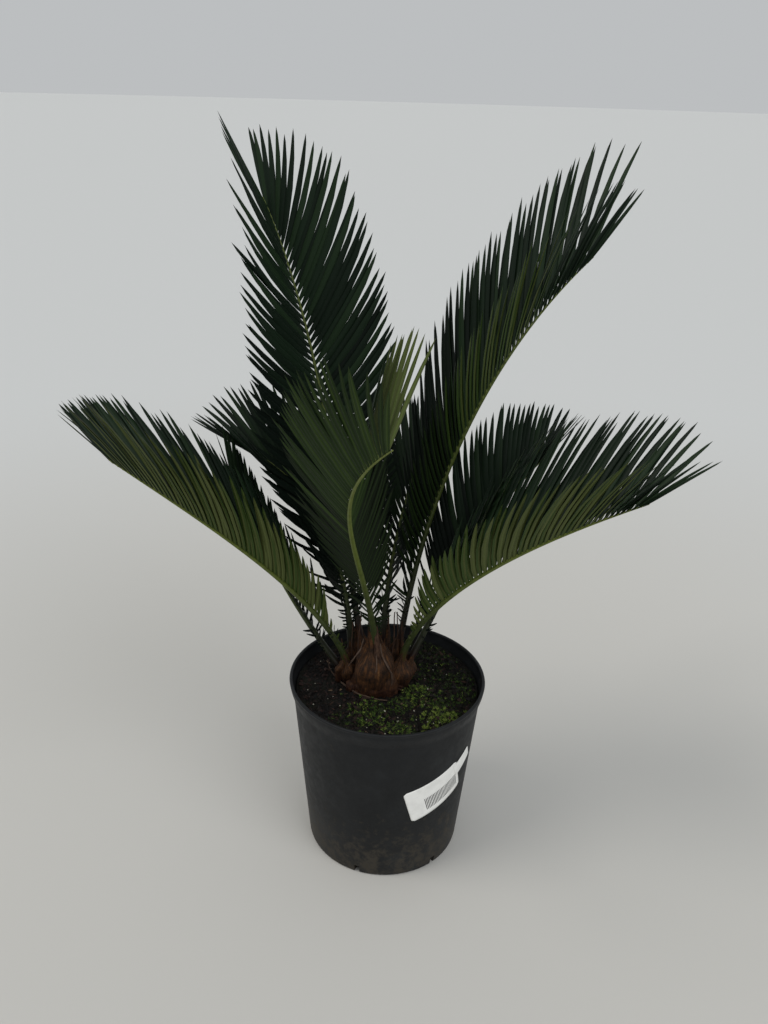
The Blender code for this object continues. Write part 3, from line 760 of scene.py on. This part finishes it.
# Points of a frond's centre line at given shares of its length, with the directions along,
# across and off its blade. Elevation and heading are powers of the share, added up in fine steps.
def frondLine(row, shares):
    count = (rib["stations"] - 1) * rib["fineSteps"] + 1
    share = np.linspace(0, 1, count)
    footRise, tipRise, lateness = row["rise"]
    rise = np.radians(footRise + (tipRise - footRise) * share ** lateness)
    heading = np.radians(row["azimuth"] + row["sway"] * share ** 1.5)
    along = np.stack([np.cos(rise) * np.cos(heading), np.cos(rise) * np.sin(heading), np.sin(rise)], 1)
    off = np.stack([-np.sin(rise) * np.cos(heading), -np.sin(rise) * np.sin(heading), np.cos(rise)], 1)
    across = np.cross(along, off)
    footAzimuth, footHeight = math.radians(row["foot"][0]), row["foot"][1] * mm
    startRadius = np.interp(footHeight, caudex["heights"], caudex["radii"])
    foot = np.array([caudex["x"] + startRadius * math.cos(footAzimuth),
                     caudex["y"] + startRadius * math.sin(footAzimuth), soil["level"] + footHeight])
    steps = (along[1:] + along[:-1]) / 2 * row["length"] * mm / (count - 1)
    line = foot + np.concatenate([np.zeros((1, 3)), np.cumsum(steps, 0)])
    roll = math.radians(row["roll"])
    frames = (line, along, math.cos(roll) * across - math.sin(roll) * off,
              math.cos(roll) * off + math.sin(roll) * across)
    return [np.stack([np.interp(shares, share, column) for column in values.T], -1) for values in frames]


def ribRadius(share, bare):  # swollen at the foot, then a stalk, then a steady taper
    radius = np.interp(share, [0, bare * 0.6, bare, 1],
                       [rib["footRadius"], rib["stalkRadius"] * 1.1, rib["stalkRadius"], rib["tipRadius"]])
    return radius


# The rib is a ring carried along the frond's line: round below, flatter above.
def buildRib(name, row, finish):
    share = np.linspace(0, 1, rib["stations"])
    line, along, across, off = frondLine(row, share)
    line[0] = line[0] - along[0] * rib["sunk"]
    turn = np.linspace(0, 2 * math.pi, rib["sides"], endpoint=False)
    shape = 1 - 0.22 * np.clip(np.sin(turn), 0, 1) ** 2
    radius = ribRadius(share, row["bare"])[:, None] * shape
    ring = radius[..., None] * (np.cos(turn)[None, :, None] * across[:, None]
                                + np.sin(turn)[None, :, None] * off[:, None])
    points = (line[:, None] + ring).reshape(-1, 3)
    uv = np.stack(np.broadcast_arrays(turn[None, :] / (2 * math.pi), share[:, None]), -1).reshape(-1, 2)
    last = (rib["stations"] - 1) * rib["sides"] + np.arange(rib["sides"])
    faces = [(gridFaces(rib["stations"], rib["sides"]), 0), (np.arange(rib["sides"])[None, ::-1], 0),
             (last[None, :], 0)]
    piece = addPiece("rib_" + name, points, faces, [finish], 50, uv)
    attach(piece, "root")
    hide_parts("frond_" + name)


def leafletLength(place, leaf):  # rises by a sine to the longest, then falls off by a power
    longest, first, last, peak = leaf
    rising = first + (1 - first) * np.sin(math.pi / 2 * np.clip(place / peak, 0, 1)) ** 0.8
    falling = 1 - (1 - last) * (np.clip(place - peak, 0, 1) / (1 - peak)) ** 1.6
    return longest * mm * np.where(place < peak, rising, falling)


# Stations along a leaflet, its width there as a share, and its eight-sided section: an upper side
# of two swells with a shallow groove between them, margins rolled down, and a midrib standing out
# below. Across is a share of the half width.
leafStations = np.array([0, 0.07, 0.22, 0.5, 0.76, 0.92])
leafWidths = np.array([0.4, 0.7, 0.96, 1.0, 0.76, 0.4])
sectionAcross = np.array([1, 0.5, 0, -0.5, -1, -0.3, 0, 0.3])
sectionRise = np.array([-0.45, 0.22, 0.02, 0.22, -0.45, -0.38, -0.78, -0.38]) * mm


# All leaflets of one frond as one array. A leaflet's direction turns from the rib's own by an
# angle that shrinks towards its tip, and lifts off the flat by the vee. It is added up station
# by station, and the section stands square to it, with its width along the rib.
def leafletMesh(root, along, across, off, side, angle, vee, length, width, curl, turned):
    count = len(root)
    fine = np.linspace(0, 1, 41)
    swept = angle[:, None] * (0.985 - leaflet["sweep"] * fine)
    lifted = vee[:, None] + curl[:, None] * fine ** 1.3
    aside = (np.cos(lifted)[..., None] * side[:, None, None] * across[:, None]
             + np.sin(lifted)[..., None] * off[:, None])
    heading = np.cos(swept)[..., None] * along[:, None] + np.sin(swept)[..., None] * aside
    steps = (heading[:, 1:] + heading[:, :-1]) / 2 * length[:, None, None] / 40
    path = root[:, None] + np.concatenate([np.zeros((count, 1, 3)), np.cumsum(steps, 1)], 1)
    picked = np.round(leafStations * 40).astype(int)
    centre = path[:, picked]
    out = heading[:, picked]
    flat = along[:, None] - out * np.sum(along[:, None] * out, -1, keepdims=True)
    flat = flat / np.linalg.norm(flat, axis=-1, keepdims=True)
    face = np.cross(out, flat) * side[:, None, None]
    twist = (math.radians(leaflet["twist"]) + turned)[:, None, None]
    wide = side[:, None, None] * (np.cos(twist) * flat + np.sin(twist) * face)
    upper = np.cos(twist) * face - np.sin(twist) * flat
    half = width[:, None] / 2 * leafWidths
    small = np.clip(leafWidths * 1.2, 0, 1)
    rise = sectionRise * small[:, None] * (width / leaflet["widest"])[:, None, None]
    points = (centre[:, :, None] + wide[:, :, None] * (half[..., None] * sectionAcross)[..., None]
              + upper[:, :, None] * rise[..., None])
    rings = len(leafStations)
    around = len(sectionAcross)
    tip = path[:, -1][:, None]
    points = np.concatenate([points.reshape(count, rings * around, 3), tip], 1)
    first = (rings * around + 1) * np.arange(count)[:, None, None]
    sides = gridFaces(rings, around).reshape(rings - 1, around, 4)
    ring = np.arange(around)
    end = (rings - 1) * around
    tips = np.stack([end + ring, end + (ring + 1) % around, np.full(around, end + around)], 1)
    upperQuads = sides[:, :4].reshape(-1, 4)[None] + first
    lowerQuads = sides[:, 4:].reshape(-1, 4)[None] + first
    upperTips = tips[:4][None] + first
    lowerTips = tips[4:][None] + first
    caps = ring[::-1][None, None] + first
    return points.reshape(-1, 3), upperQuads, lowerQuads, upperTips, lowerTips, caps


def buildLeaflets(name, row, seed, uppers, lowers):
    dice = np.random.default_rng(seed)
    pairs = row["pairs"]
    place = np.repeat(np.arange(pairs) / (pairs - 1), 2)
    side = np.tile([-1.0, 1.0], pairs)
    bare = row["bare"]
    at = bare + (1 - bare) * place * 0.975 + 0.25 * side * (1 - bare) / pairs
    at = np.minimum(at, 0.985 + 0.004 * side)
    bySide = []
    for number, (leaf, angles, lifts) in enumerate((row["left"], row["right"])):
        start, share = row.get("closing", leaflet["closing"])[number]
        closing = 1 - share * np.clip((place - start) / (1 - start), 0, 1)
        turn = row.get("turned", (0, 0))[number]
        bySide.append((np.radians(angles[0] + (angles[1] - angles[0]) * place) * closing,
                       np.radians(lifts[0] + (lifts[1] - lifts[0]) * place),
                       leafletLength(place, leaf), np.full(len(place), float(leaf[0])),
                       np.radians(turn) * smoothStep(place, 0.72, 0.95)))
    angle, vee, length, longest, turned = [np.where(side < 0, left, right)
                                           for left, right in zip(*bySide)]
    width = leaflet["widest"] * (0.45 + 0.55 * smoothStep(place, 0, 0.3)) * (1 - 0.2 * smoothStep(place, 0.7, 1))
    width = width * np.clip(longest / 85, 0.8, 1.05)
    young = 1 - smoothStep(place, 0, 0.16)
    angle = angle + np.radians(dice.normal(0, 0.9, len(at)) + young * dice.normal(0, 9, len(at)))
    vee = vee + np.radians(dice.normal(0, 1.5, len(at)) + young * dice.normal(0, 14, len(at)))
    length = length * (1 + dice.normal(0, 0.025, len(at)))
    curl = np.radians(dice.normal(0, 4, len(at)) + young * dice.normal(10, 30, len(at)))

    # Short thorn-like leaflets, lower on the stalk
    thorns = leaflet["thorns"]
    thornSide = np.tile([-1.0, 1.0], thorns)
    thornAt = bare * np.repeat(np.linspace(0.42, 0.97, thorns), 2) + dice.normal(0, 0.004, 2 * thorns)
    at = np.concatenate([at, thornAt])
    side = np.concatenate([side, thornSide])
    angle = np.concatenate([angle, np.radians(dice.uniform(50, 85, 2 * thorns))])
    vee = np.concatenate([vee, np.radians(dice.uniform(0, 45, 2 * thorns))])
    length = np.concatenate([length, dice.uniform(5, 9, 2 * thorns) * mm
                             * np.repeat(np.linspace(0.5, 1.9, thorns), 2)])
    width = np.concatenate([width, np.repeat(np.linspace(1.1, 1.9, thorns), 2) * mm])
    curl = np.concatenate([curl, np.radians(dice.normal(-10, 35, 2 * thorns))])
    turned = np.concatenate([turned, np.zeros(2 * thorns)])

    line, along, across, off = frondLine(row, at)
    made = leafletMesh(line, along, across, off, side, angle, vee, length, width, curl, turned)
    points, upperQuads, lowerQuads, upperTips, lowerTips, caps = made
    shaded = dice.uniform(0, 1, len(at)) < 1 - smoothStep(at, *row.get("shaded", leaflet["shaded"]))
    tone = np.where(shaded, 0, dice.integers(1, len(uppers), len(at)))
    lowest, highest = row["below"]
    below = np.where(shaded, 0, dice.integers(lowest, highest + 1, len(at)))
    if "pale" in row:
        fresh = (side == row["pale"][0]) & (at > row["pale"][1])
        below = np.where(fresh, len(lowers) - 2, below)
    sets = []
    for number in range(len(uppers)):
        chosen = tone == number
        sets += [(upperQuads[chosen].reshape(-1, 4), number), (upperTips[chosen].reshape(-1, 3), number)]
    keel = np.zeros((len(leafStations) - 1, 4), bool)
    keel[:, 1:3] = True
    keel = keel.ravel()
    for number in range(len(lowers) - 1):
        chosen = below == number
        skin = len(uppers) + number
        sets += [(lowerQuads[chosen][:, ~keel].reshape(-1, 4), skin),
                 (lowerQuads[chosen][:, keel].reshape(-1, 4), skin + 1),
                 (lowerTips[chosen].reshape(-1, 3), skin), (caps[chosen].reshape(-1, len(sectionAcross)), skin)]
    sets = [chosenSet for chosenSet in sets if len(chosenSet[0])]
    piece = addPiece("leaflets_" + name, points, sets, uppers + lowers, 50)
    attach(piece, "root")
    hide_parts("frond_" + name)


# Waxy leaf skin: a plain colour for each leaflet, satin above and duller below, with fine grain
def leafSkin(name, colour, rough):
    made, tree, shader = startMaterial(name, colour, {"Specular IOR Level": 0.12})
    where = addNode(tree, "TexCoord")
    fine = addNode(tree, "TexNoise", {}, {"Vector": where.outputs["Object"], "Scale": 1 / (1.5 * mm),
                                          "Detail": 3.0})
    dull = addNode(tree, "MapRange", {}, {"Value": fine.outputs["Fac"], "To Min": rough - 0.1,
                                          "To Max": rough + 0.12})
    tree.links.new(dull.outputs["Result"], shader.inputs["Roughness"])
    return made


# Green rind of the stalk: brown at the foot, olive on the stalk, yellow-green where it carries
# leaflets, with fine lengthwise grooves. It reads the rib's own map.
def stalkRind(name, stops):
    made, tree, shader = startMaterial(name, "#4a5527", {"Roughness": 0.5, "Specular IOR Level": 0.3})
    where = addNode(tree, "TexCoord")
    apart = addNode(tree, "SeparateXYZ", {}, {"Vector": where.outputs["UV"]})
    green = addNode(tree, "ValToRGB", {"stops": stops}, {"Fac": apart.outputs["Y"]})
    mottle = addNode(tree, "TexNoise", {}, {"Vector": where.outputs["Object"], "Scale": 1 / (5 * mm),
                                            "Detail": 4.0})
    shade = addNode(tree, "MapRange", {}, {"Value": mottle.outputs["Fac"], "From Min": 0.3, "From Max": 0.7,
                                           "To Min": 0.72, "To Max": 1.12})
    tint = addNode(tree, "Mix", {"data_type": "RGBA", "blend_type": "MULTIPLY"}, {
        0: 1.0, 6: green.outputs["Color"], 7: shade.outputs["Result"]})
    tree.links.new(tint.outputs[2], shader.inputs["Base Color"])
    stretched = addNode(tree, "Mapping", {}, {"Vector": where.outputs["UV"], "Scale": (18.0, 6.0, 1.0)})
    groove = addNode(tree, "TexNoise", {}, {"Vector": stretched.outputs["Vector"], "Scale": 1.0, "Detail": 2.0})
    bump = addNode(tree, "Bump", {}, {"Strength": 0.35, "Distance": 0.3 * mm, "Height": groove.outputs["Fac"]})
    tree.links.new(bump.outputs["Normal"], shader.inputs["Normal"])
    return made


def buildFronds():
    uppers = [leafSkin("upper leaf skin shaded", "#0c150f", 0.45),
              leafSkin("upper leaf skin dark", "#121e14", 0.45),
              leafSkin("upper leaf skin", "#172518", 0.45),
              leafSkin("upper leaf skin fresh", "#1d2d1b", 0.45)]
    lowers = [leafSkin("lower leaf skin shaded", "#111a0c", 0.6),
              leafSkin("lower leaf skin deep", "#1b2a0f", 0.6),
              leafSkin("lower leaf skin dark", "#243513", 0.6),
              leafSkin("lower leaf skin", "#33441a", 0.6),
              leafSkin("lower leaf skin olive", "#454d26", 0.6),
              leafSkin("lower leaf skin fresh", "#515a30", 0.6),
              leafSkin("lower leaf skin pale", "#5d6c38", 0.6)]
    fresh = stalkRind("stalk rind", [(0.0, "#33200f"), (0.03, "#3b3015"), (0.07, "#2d3518"), (0.2, "#38421c"),
                                     (0.4, "#566222"), (1.0, "#666f2c")])
    # The rear and tall fronds take a darker copy of the stalk rind: painted shade for the stalks inside and behind the
    # crown.
    shadedRind = stalkRind("stalk rind with painted shade", [(0.0, "#1a0d0a"), (0.05, "#211512"), (0.1, "#1e2013"), (0.25, "#2b3418"),
                                         (0.5, "#48531f"), (1.0, "#5a6529")])
    for number, (name, row) in enumerate(fronds.items()):
        # The front and low fronds take the plain rind; the others take the darker copy, which is painted shade.
        rind = fresh if name in ("front", "low_right", "low_left") else shadedRind
        buildRib(name, row, rind)
        buildLeaflets(name, row, 100 + number, uppers, lowers)


buildFronds()
print("fronds made")


# Leaf bases, each swollen low down and drawn up round its stalk like the neck of an onion. The
# shares are of its widest half width, across and in depth, at shares of its height. Each foot
# has x, y, widest half width and reach up the stalk, in mm. Low bulbs have x, y, half width and
# height, and carry no stalk.
bulbs = {
    "rows": 64,
    "columns": 120,
    "fibreDepth": 0.3 * mm,
    "heights": (0, 0.2, 0.42, 0.55, 0.65, 0.76, 0.88, 1.0),
    "across": (0.8, 0.95, 1.0, 0.88, 0.66, 0.48, 0.37, 0.25),
    "deep": (0.8, 0.95, 1.0, 0.84, 0.52, 0.27, 0.15, 0.1),
    "feet": {
        "front": (-13.5, -3.0, 15.8, 27.0),
        "low_right": (7.5, 5.0, 12.0, 12.0),
        "low_left": (-33.0, 9.0, 9.5, 16.0),
        "tall_left": (-21.0, 15.0, 10.0, 22.0),
        "left_middle": (-27.0, 13.0, 9.0, 18.0),
        "left_rear": (-32.0, 15.0, 7.5, 12.0),
        "tall_right": (2.0, 14.0, 10.0, 20.0),
        "right_rear": (10.0, 12.0, 9.0, 14.0),
        "rear": (-6.0, 20.0, 10.0, 18.0),
    },
    "low": ((0.5, -7.0, 9.5, 15.0), (-24.0, -4.0, 9.0, 13.0), (8.0, -1.0, 7.0, 11.0)),
}
# Dry pointed scales between the stalks: root and tip in mm, and half width
scales = (
    ((-7.5, -15.0, 160.0), (-10.0, -13.5, 203.0), 2.9),
    ((2.0, 0.0, 158.0), (4.0, 3.0, 197.0), 1.3),
    ((5.5, 3.0, 160.0), (6.0, 5.0, 196.0), 1.1),
    ((0.0, 5.0, 160.0), (-0.5, 7.0, 190.0), 1.7),
    ((8.0, 5.0, 156.0), (10.0, 8.0, 186.0), 1.3),
    ((-26.0, 2.0, 150.0), (-27.5, 5.0, 186.0), 2.3),
    ((-22.0, -1.0, 156.0), (-21.0, 3.0, 196.0), 1.6),
    ((-31.0, 8.0, 146.0), (-36.0, 10.0, 168.0), 2.4),
    ((-14.0, 22.0, 156.0), (-15.0, 25.0, 190.0), 2.0),
    ((-2.0, 24.0, 155.0), (0.0, 27.0, 186.0), 2.2),
    ((-24.0, 20.0, 150.0), (-28.0, 25.0, 176.0), 2.4),
    ((12.0, 14.0, 148.0), (17.0, 17.0, 172.0), 2.2),
)
# Papery edges: lines through points in mm, with half width. Each strip faces out from the middle of the caudex.
edges = {
    "collar": (((-47, 24, 134), (-43, 12, 134.5), (-37, 3, 134), (-31, -5, 134.5), (-24, -12, 134),
                (-16, -17.5, 134.5), (-8, -20, 134), (2, -19, 133)), 1.1),
    "right": (((-6.5, -15.5, 182), (-4.5, -16.5, 170), (0.5, -17.5, 161), (3.8, -14.5, 152),
               (3.2, -15.0, 143)), 0.7),
    "left": (((-18.5, -13.5, 184), (-20.5, -13, 174), (-26, -13, 165), (-30, -9.5, 156)), 0.6),
    "middle": (((-9.5, -14.5, 176), (-8.6, -17.5, 168), (-8.2, -20.2, 161), (-9.5, -20.8, 157)), 0.5),
    "fold": (((5.2, -4.5, 156), (8.5, -2.0, 158.5), (11, 1, 160)), 0.7),
    "outer": (((-47, 20, 142), (-46, 17, 138), (-43, 13, 134)), 1.0),
}


# One leaf base: rings from the soil up a bent axis into the stalk. Fibres run up it as sine
# waves round the ring that wander with height, with a few deeper folds.
def leafBase(base, top, direction, outward, widest, seed):
    t = np.linspace(0, 1, bulbs["rows"])[:, None]
    bend = top - direction * np.linalg.norm(top - base) * 0.5
    axis = (1 - t) ** 2 * base + 2 * t * (1 - t) * bend + t ** 2 * top
    fine = np.linspace(0, 1, 200)
    halves = []
    for shares in (bulbs["across"], bulbs["deep"]):
        profile = np.interp(fine, bulbs["heights"], shares)
        profile = np.convolve(np.pad(profile, 12, mode="edge"), np.ones(25) / 25, "valid")
        halves.append(np.interp(t, fine, profile) * widest)
    dice = np.random.default_rng(seed)
    turn = np.linspace(0, 2 * math.pi, bulbs["columns"], endpoint=False)[None, :]
    phase = dice.uniform(0, 6, 6)
    wander = 0.25 * np.sin(3 * t * math.pi + phase[0]) + 0.12 * np.sin(9 * t + phase[1])
    relief = 0.35 * np.sin(27 * turn + 4 * wander + phase[2]) + 0.7 * np.sin(9 * turn + 6 * wander + phase[3])
    relief = relief + 1.5 * np.sin(4 * turn + 3 * wander + phase[4])
    fold = np.abs(np.sin(1.5 * turn + phase[5] + 1.2 * wander)) ** 14
    size = np.clip(halves[0] / (7 * mm), 0.1, 1)
    raised = (bulbs["fibreDepth"] * relief - 1.8 * mm * fold) * size
    sideways = np.array([-outward[1], outward[0], 0])
    tangent = np.gradient(axis, axis=0)
    tangent = tangent / np.linalg.norm(tangent, axis=1, keepdims=True)
    mix = np.clip(t * 1.6, 0, 1)
    tangent = (1 - mix) * np.array([0, 0, 1.0]) + mix * tangent
    inward = np.cross(tangent, sideways)
    inward = inward / np.linalg.norm(inward, axis=1, keepdims=True)
    points = (axis[:, None] + ((halves[0] + raised) * np.cos(turn))[..., None] * sideways
              + ((halves[1] + raised) * np.sin(turn))[..., None] * inward[:, None])
    points[..., 2] = np.maximum(points[..., 2], soil["level"] + 0.3 * mm)
    uv = np.stack(np.broadcast_arrays(turn / (2 * math.pi), t), -1)
    return points, uv


# Joins closed tubes, given as grids of rings with a map each, and closes both ends of each tube.
def addTubes(name, grids, maps, finish, sharpAngle=60):
    start = 0
    faces = []
    for grid in grids:
        rows, columns = grid.shape[:2]
        ring = np.arange(columns)
        faces += [(gridFaces(rows, columns, first=start), 0), ((start + ring[::-1])[None, :], 0),
                  ((start + (rows - 1) * columns + ring)[None, :], 0)]
        start += rows * columns
    points = np.concatenate([grid.reshape(-1, 3) for grid in grids])
    uv = np.concatenate([grid.reshape(-1, 2) for grid in maps])
    piece = addPiece(name, points, faces, [finish], sharpAngle, uv)
    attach(piece, "root")
    return piece


# A thin strip with a lens-shaped section along a smooth line: half width by share of its length
def strip(line, across, facing, half, thick):
    across = across / np.linalg.norm(across, axis=1, keepdims=True)
    turn = np.arange(6) * math.pi / 3
    ring = (np.cos(turn)[None, :, None] * across[:, None] * half[:, None, None]
            + np.sin(turn)[None, :, None] * facing[:, None] * thick)
    grid = line[:, None] + ring
    uv = np.stack(np.broadcast_arrays(turn[None, :] / (2 * math.pi), np.linspace(0, 1, len(line))[:, None]), -1)
    return grid, uv


def buildCaudex(finish, dry, papery):
    middle = np.array([caudex["x"], caudex["y"], 0])
    grids = []
    maps = []
    for number, (name, (x, y, widest, reach)) in enumerate(bulbs["feet"].items()):
        row = fronds[name]
        line, along, across, off = frondLine(row, np.array([reach / row["length"]]))
        heading = math.radians(row["foot"][0])
        outward = np.array([math.cos(heading), math.sin(heading), 0])
        base = np.array([x * mm, y * mm, soil["level"] + 0.3 * mm])
        grid, uv = leafBase(base, line[0], along[0], outward, widest * mm, 40 + number)
        grids.append(grid)
        maps.append(uv)
    for number, (x, y, widest, height) in enumerate(bulbs["low"]):
        base = np.array([x * mm, y * mm, soil["level"] + 0.3 * mm])
        outward = base * np.array([1, 1, 0]) - middle
        outward = outward / np.linalg.norm(outward)
        top = base + np.array([0, 0, height * mm]) - outward * 3 * mm
        grid, uv = leafBase(base, top, np.array([0, 0, 1.0]), outward, widest * mm, 60 + number)
        grids.append(grid)
        maps.append(uv)
    piece = addTubes("caudex_bases", grids, maps, finish)
    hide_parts("caudex")

    # The dark heart between the leaf bases
    turn = np.linspace(0, 2 * math.pi, 96, endpoint=False)
    heights = np.linspace(0.3 * mm, 31 * mm, 30)
    radius = np.interp(heights, caudex["heights"], caudex["radii"])[:, None] * (0.82 + 0.05 * np.cos(7 * turn))
    heart = np.stack([caudex["x"] + radius * np.cos(turn), caudex["y"] + radius * np.sin(turn),
                      np.repeat(soil["level"] + heights[:, None], 96, 1)], -1)
    uv = np.stack(np.broadcast_arrays(turn / (2 * math.pi), heights[:, None] / heights[-1]), -1)
    addTubes("caudex_heart", [heart], [uv], finish)

    t = np.linspace(0, 1, 16)[:, None]
    grids = []
    maps = []
    for root, tip, half in scales:
        root = np.array(root) * mm
        tip = np.array(tip) * mm
        outward = root * np.array([1, 1, 0]) - middle
        outward = outward / np.linalg.norm(outward)
        line = root + (tip - root) * t + outward * 2.5 * mm * np.sin(math.pi * t) * (1 - t)
        sideways = np.repeat(np.cross([0, 0, 1.0], outward)[None], 16, 0)
        width = half * mm * (0.03 + (1 - t[:, 0]) ** 0.75)
        grid, uv = strip(line, sideways, np.repeat(outward[None], 16, 0), width, 0.45 * mm)
        grids.append(grid)
        maps.append(uv)
    addTubes("dry_scales", grids, maps, dry, 30)

    grids = []
    maps = []
    share = np.linspace(0, 1, 40)
    for points, half in edges.values():
        points = np.array(points, float) * mm
        place = np.linspace(0, 1, len(points))
        line = np.stack([np.interp(share, place, column) for column in points.T], -1)
        kernel = np.ones(7) / 7
        line = np.stack([np.convolve(np.pad(column, 3, mode="edge"), kernel, "valid") for column in line.T], -1)
        outward = (line - middle) * np.array([1, 1, 0])
        outward = outward / np.linalg.norm(outward, axis=1, keepdims=True)
        tangent = np.gradient(line, axis=0)
        width = half * mm * (0.25 + 0.75 * np.sin(math.pi * share) ** 0.5) * (1 + 0.25 * np.sin(19 * share))
        grid, uv = strip(line, np.cross(outward, tangent), outward, width, 0.35 * mm)
        grids.append(grid)
        maps.append(uv)
    addTubes("papery_edges", grids, maps, papery, 30)


# Dry fibrous leaf base: red-brown with lighter orange fibres, dark in the folds and near the soil
def fibrousBase():
    made, tree, shader = startMaterial("fibrous leaf base", "#4a2a18", {"Roughness": 0.75,
                                                                        "Specular IOR Level": 0.25})
    where = addNode(tree, "TexCoord")
    stretched = addNode(tree, "Mapping", {}, {"Vector": where.outputs["UV"], "Scale": (26.0, 2.2, 1.0)})
    fibre = addNode(tree, "TexNoise", {}, {"Vector": stretched.outputs["Vector"], "Scale": 1.7, "Detail": 6.0,
                                           "Roughness": 0.7})
    tone = addNode(tree, "ValToRGB", {"stops": [
        (0.3, "#170b06"), (0.45, "#35200f"), (0.6, "#553519"), (0.75, "#785a33")]},
        {"Fac": fibre.outputs["Fac"]})
    cloud = addNode(tree, "TexNoise", {}, {"Vector": where.outputs["Object"], "Scale": 1 / (5 * mm),
                                           "Detail": 7.0, "Roughness": 0.7})
    shade = addNode(tree, "MapRange", {}, {"Value": cloud.outputs["Fac"], "From Min": 0.38, "From Max": 0.62,
                                           "To Min": 0.22, "To Max": 1.1})
    tint = addNode(tree, "Mix", {"data_type": "RGBA", "blend_type": "MULTIPLY"}, {
        0: 1.0, 6: tone.outputs["Color"], 7: shade.outputs["Result"]})
    apart = addNode(tree, "SeparateXYZ", {}, {"Vector": where.outputs["Object"]})
    low = addNode(tree, "MapRange", {"interpolation_type": "SMOOTHSTEP"}, {
        "Value": apart.outputs["Z"], "From Min": 0.132, "From Max": 0.150, "To Min": 0.55, "To Max": 0.0})
    red = addNode(tree, "Mix", {"data_type": "RGBA"}, {
        0: low.outputs["Result"], 6: tint.outputs[2], 7: toLinear("#2e130c")})
    tree.links.new(red.outputs[2], shader.inputs["Base Color"])
    bump = addNode(tree, "Bump", {}, {"Strength": 0.7, "Distance": 0.5 * mm, "Height": fibre.outputs["Fac"]})
    tree.links.new(bump.outputs["Normal"], shader.inputs["Normal"])
    return made


# Dead papery tissue: a streaky colour along its own map, matt
def deadTissue(name, dark, light):
    made, tree, shader = startMaterial(name, dark, {"Roughness": 0.85, "Specular IOR Level": 0.2})
    where = addNode(tree, "TexCoord")
    stretched = addNode(tree, "Mapping", {}, {"Vector": where.outputs["UV"], "Scale": (6.0, 9.0, 1.0)})
    streak = addNode(tree, "TexNoise", {}, {"Vector": stretched.outputs["Vector"], "Scale": 1.0, "Detail": 4.0})
    tone = addNode(tree, "ValToRGB", {"stops": [(0.35, dark), (0.65, light)]}, {"Fac": streak.outputs["Fac"]})
    tree.links.new(tone.outputs["Color"], shader.inputs["Base Color"])
    return made


buildCaudex(fibrousBase(), deadTissue("dry scale", "#24150f", "#4c382b"),
            deadTissue("papery sheath edge", "#33261f", "#5f4f44"))
print("caudex made")
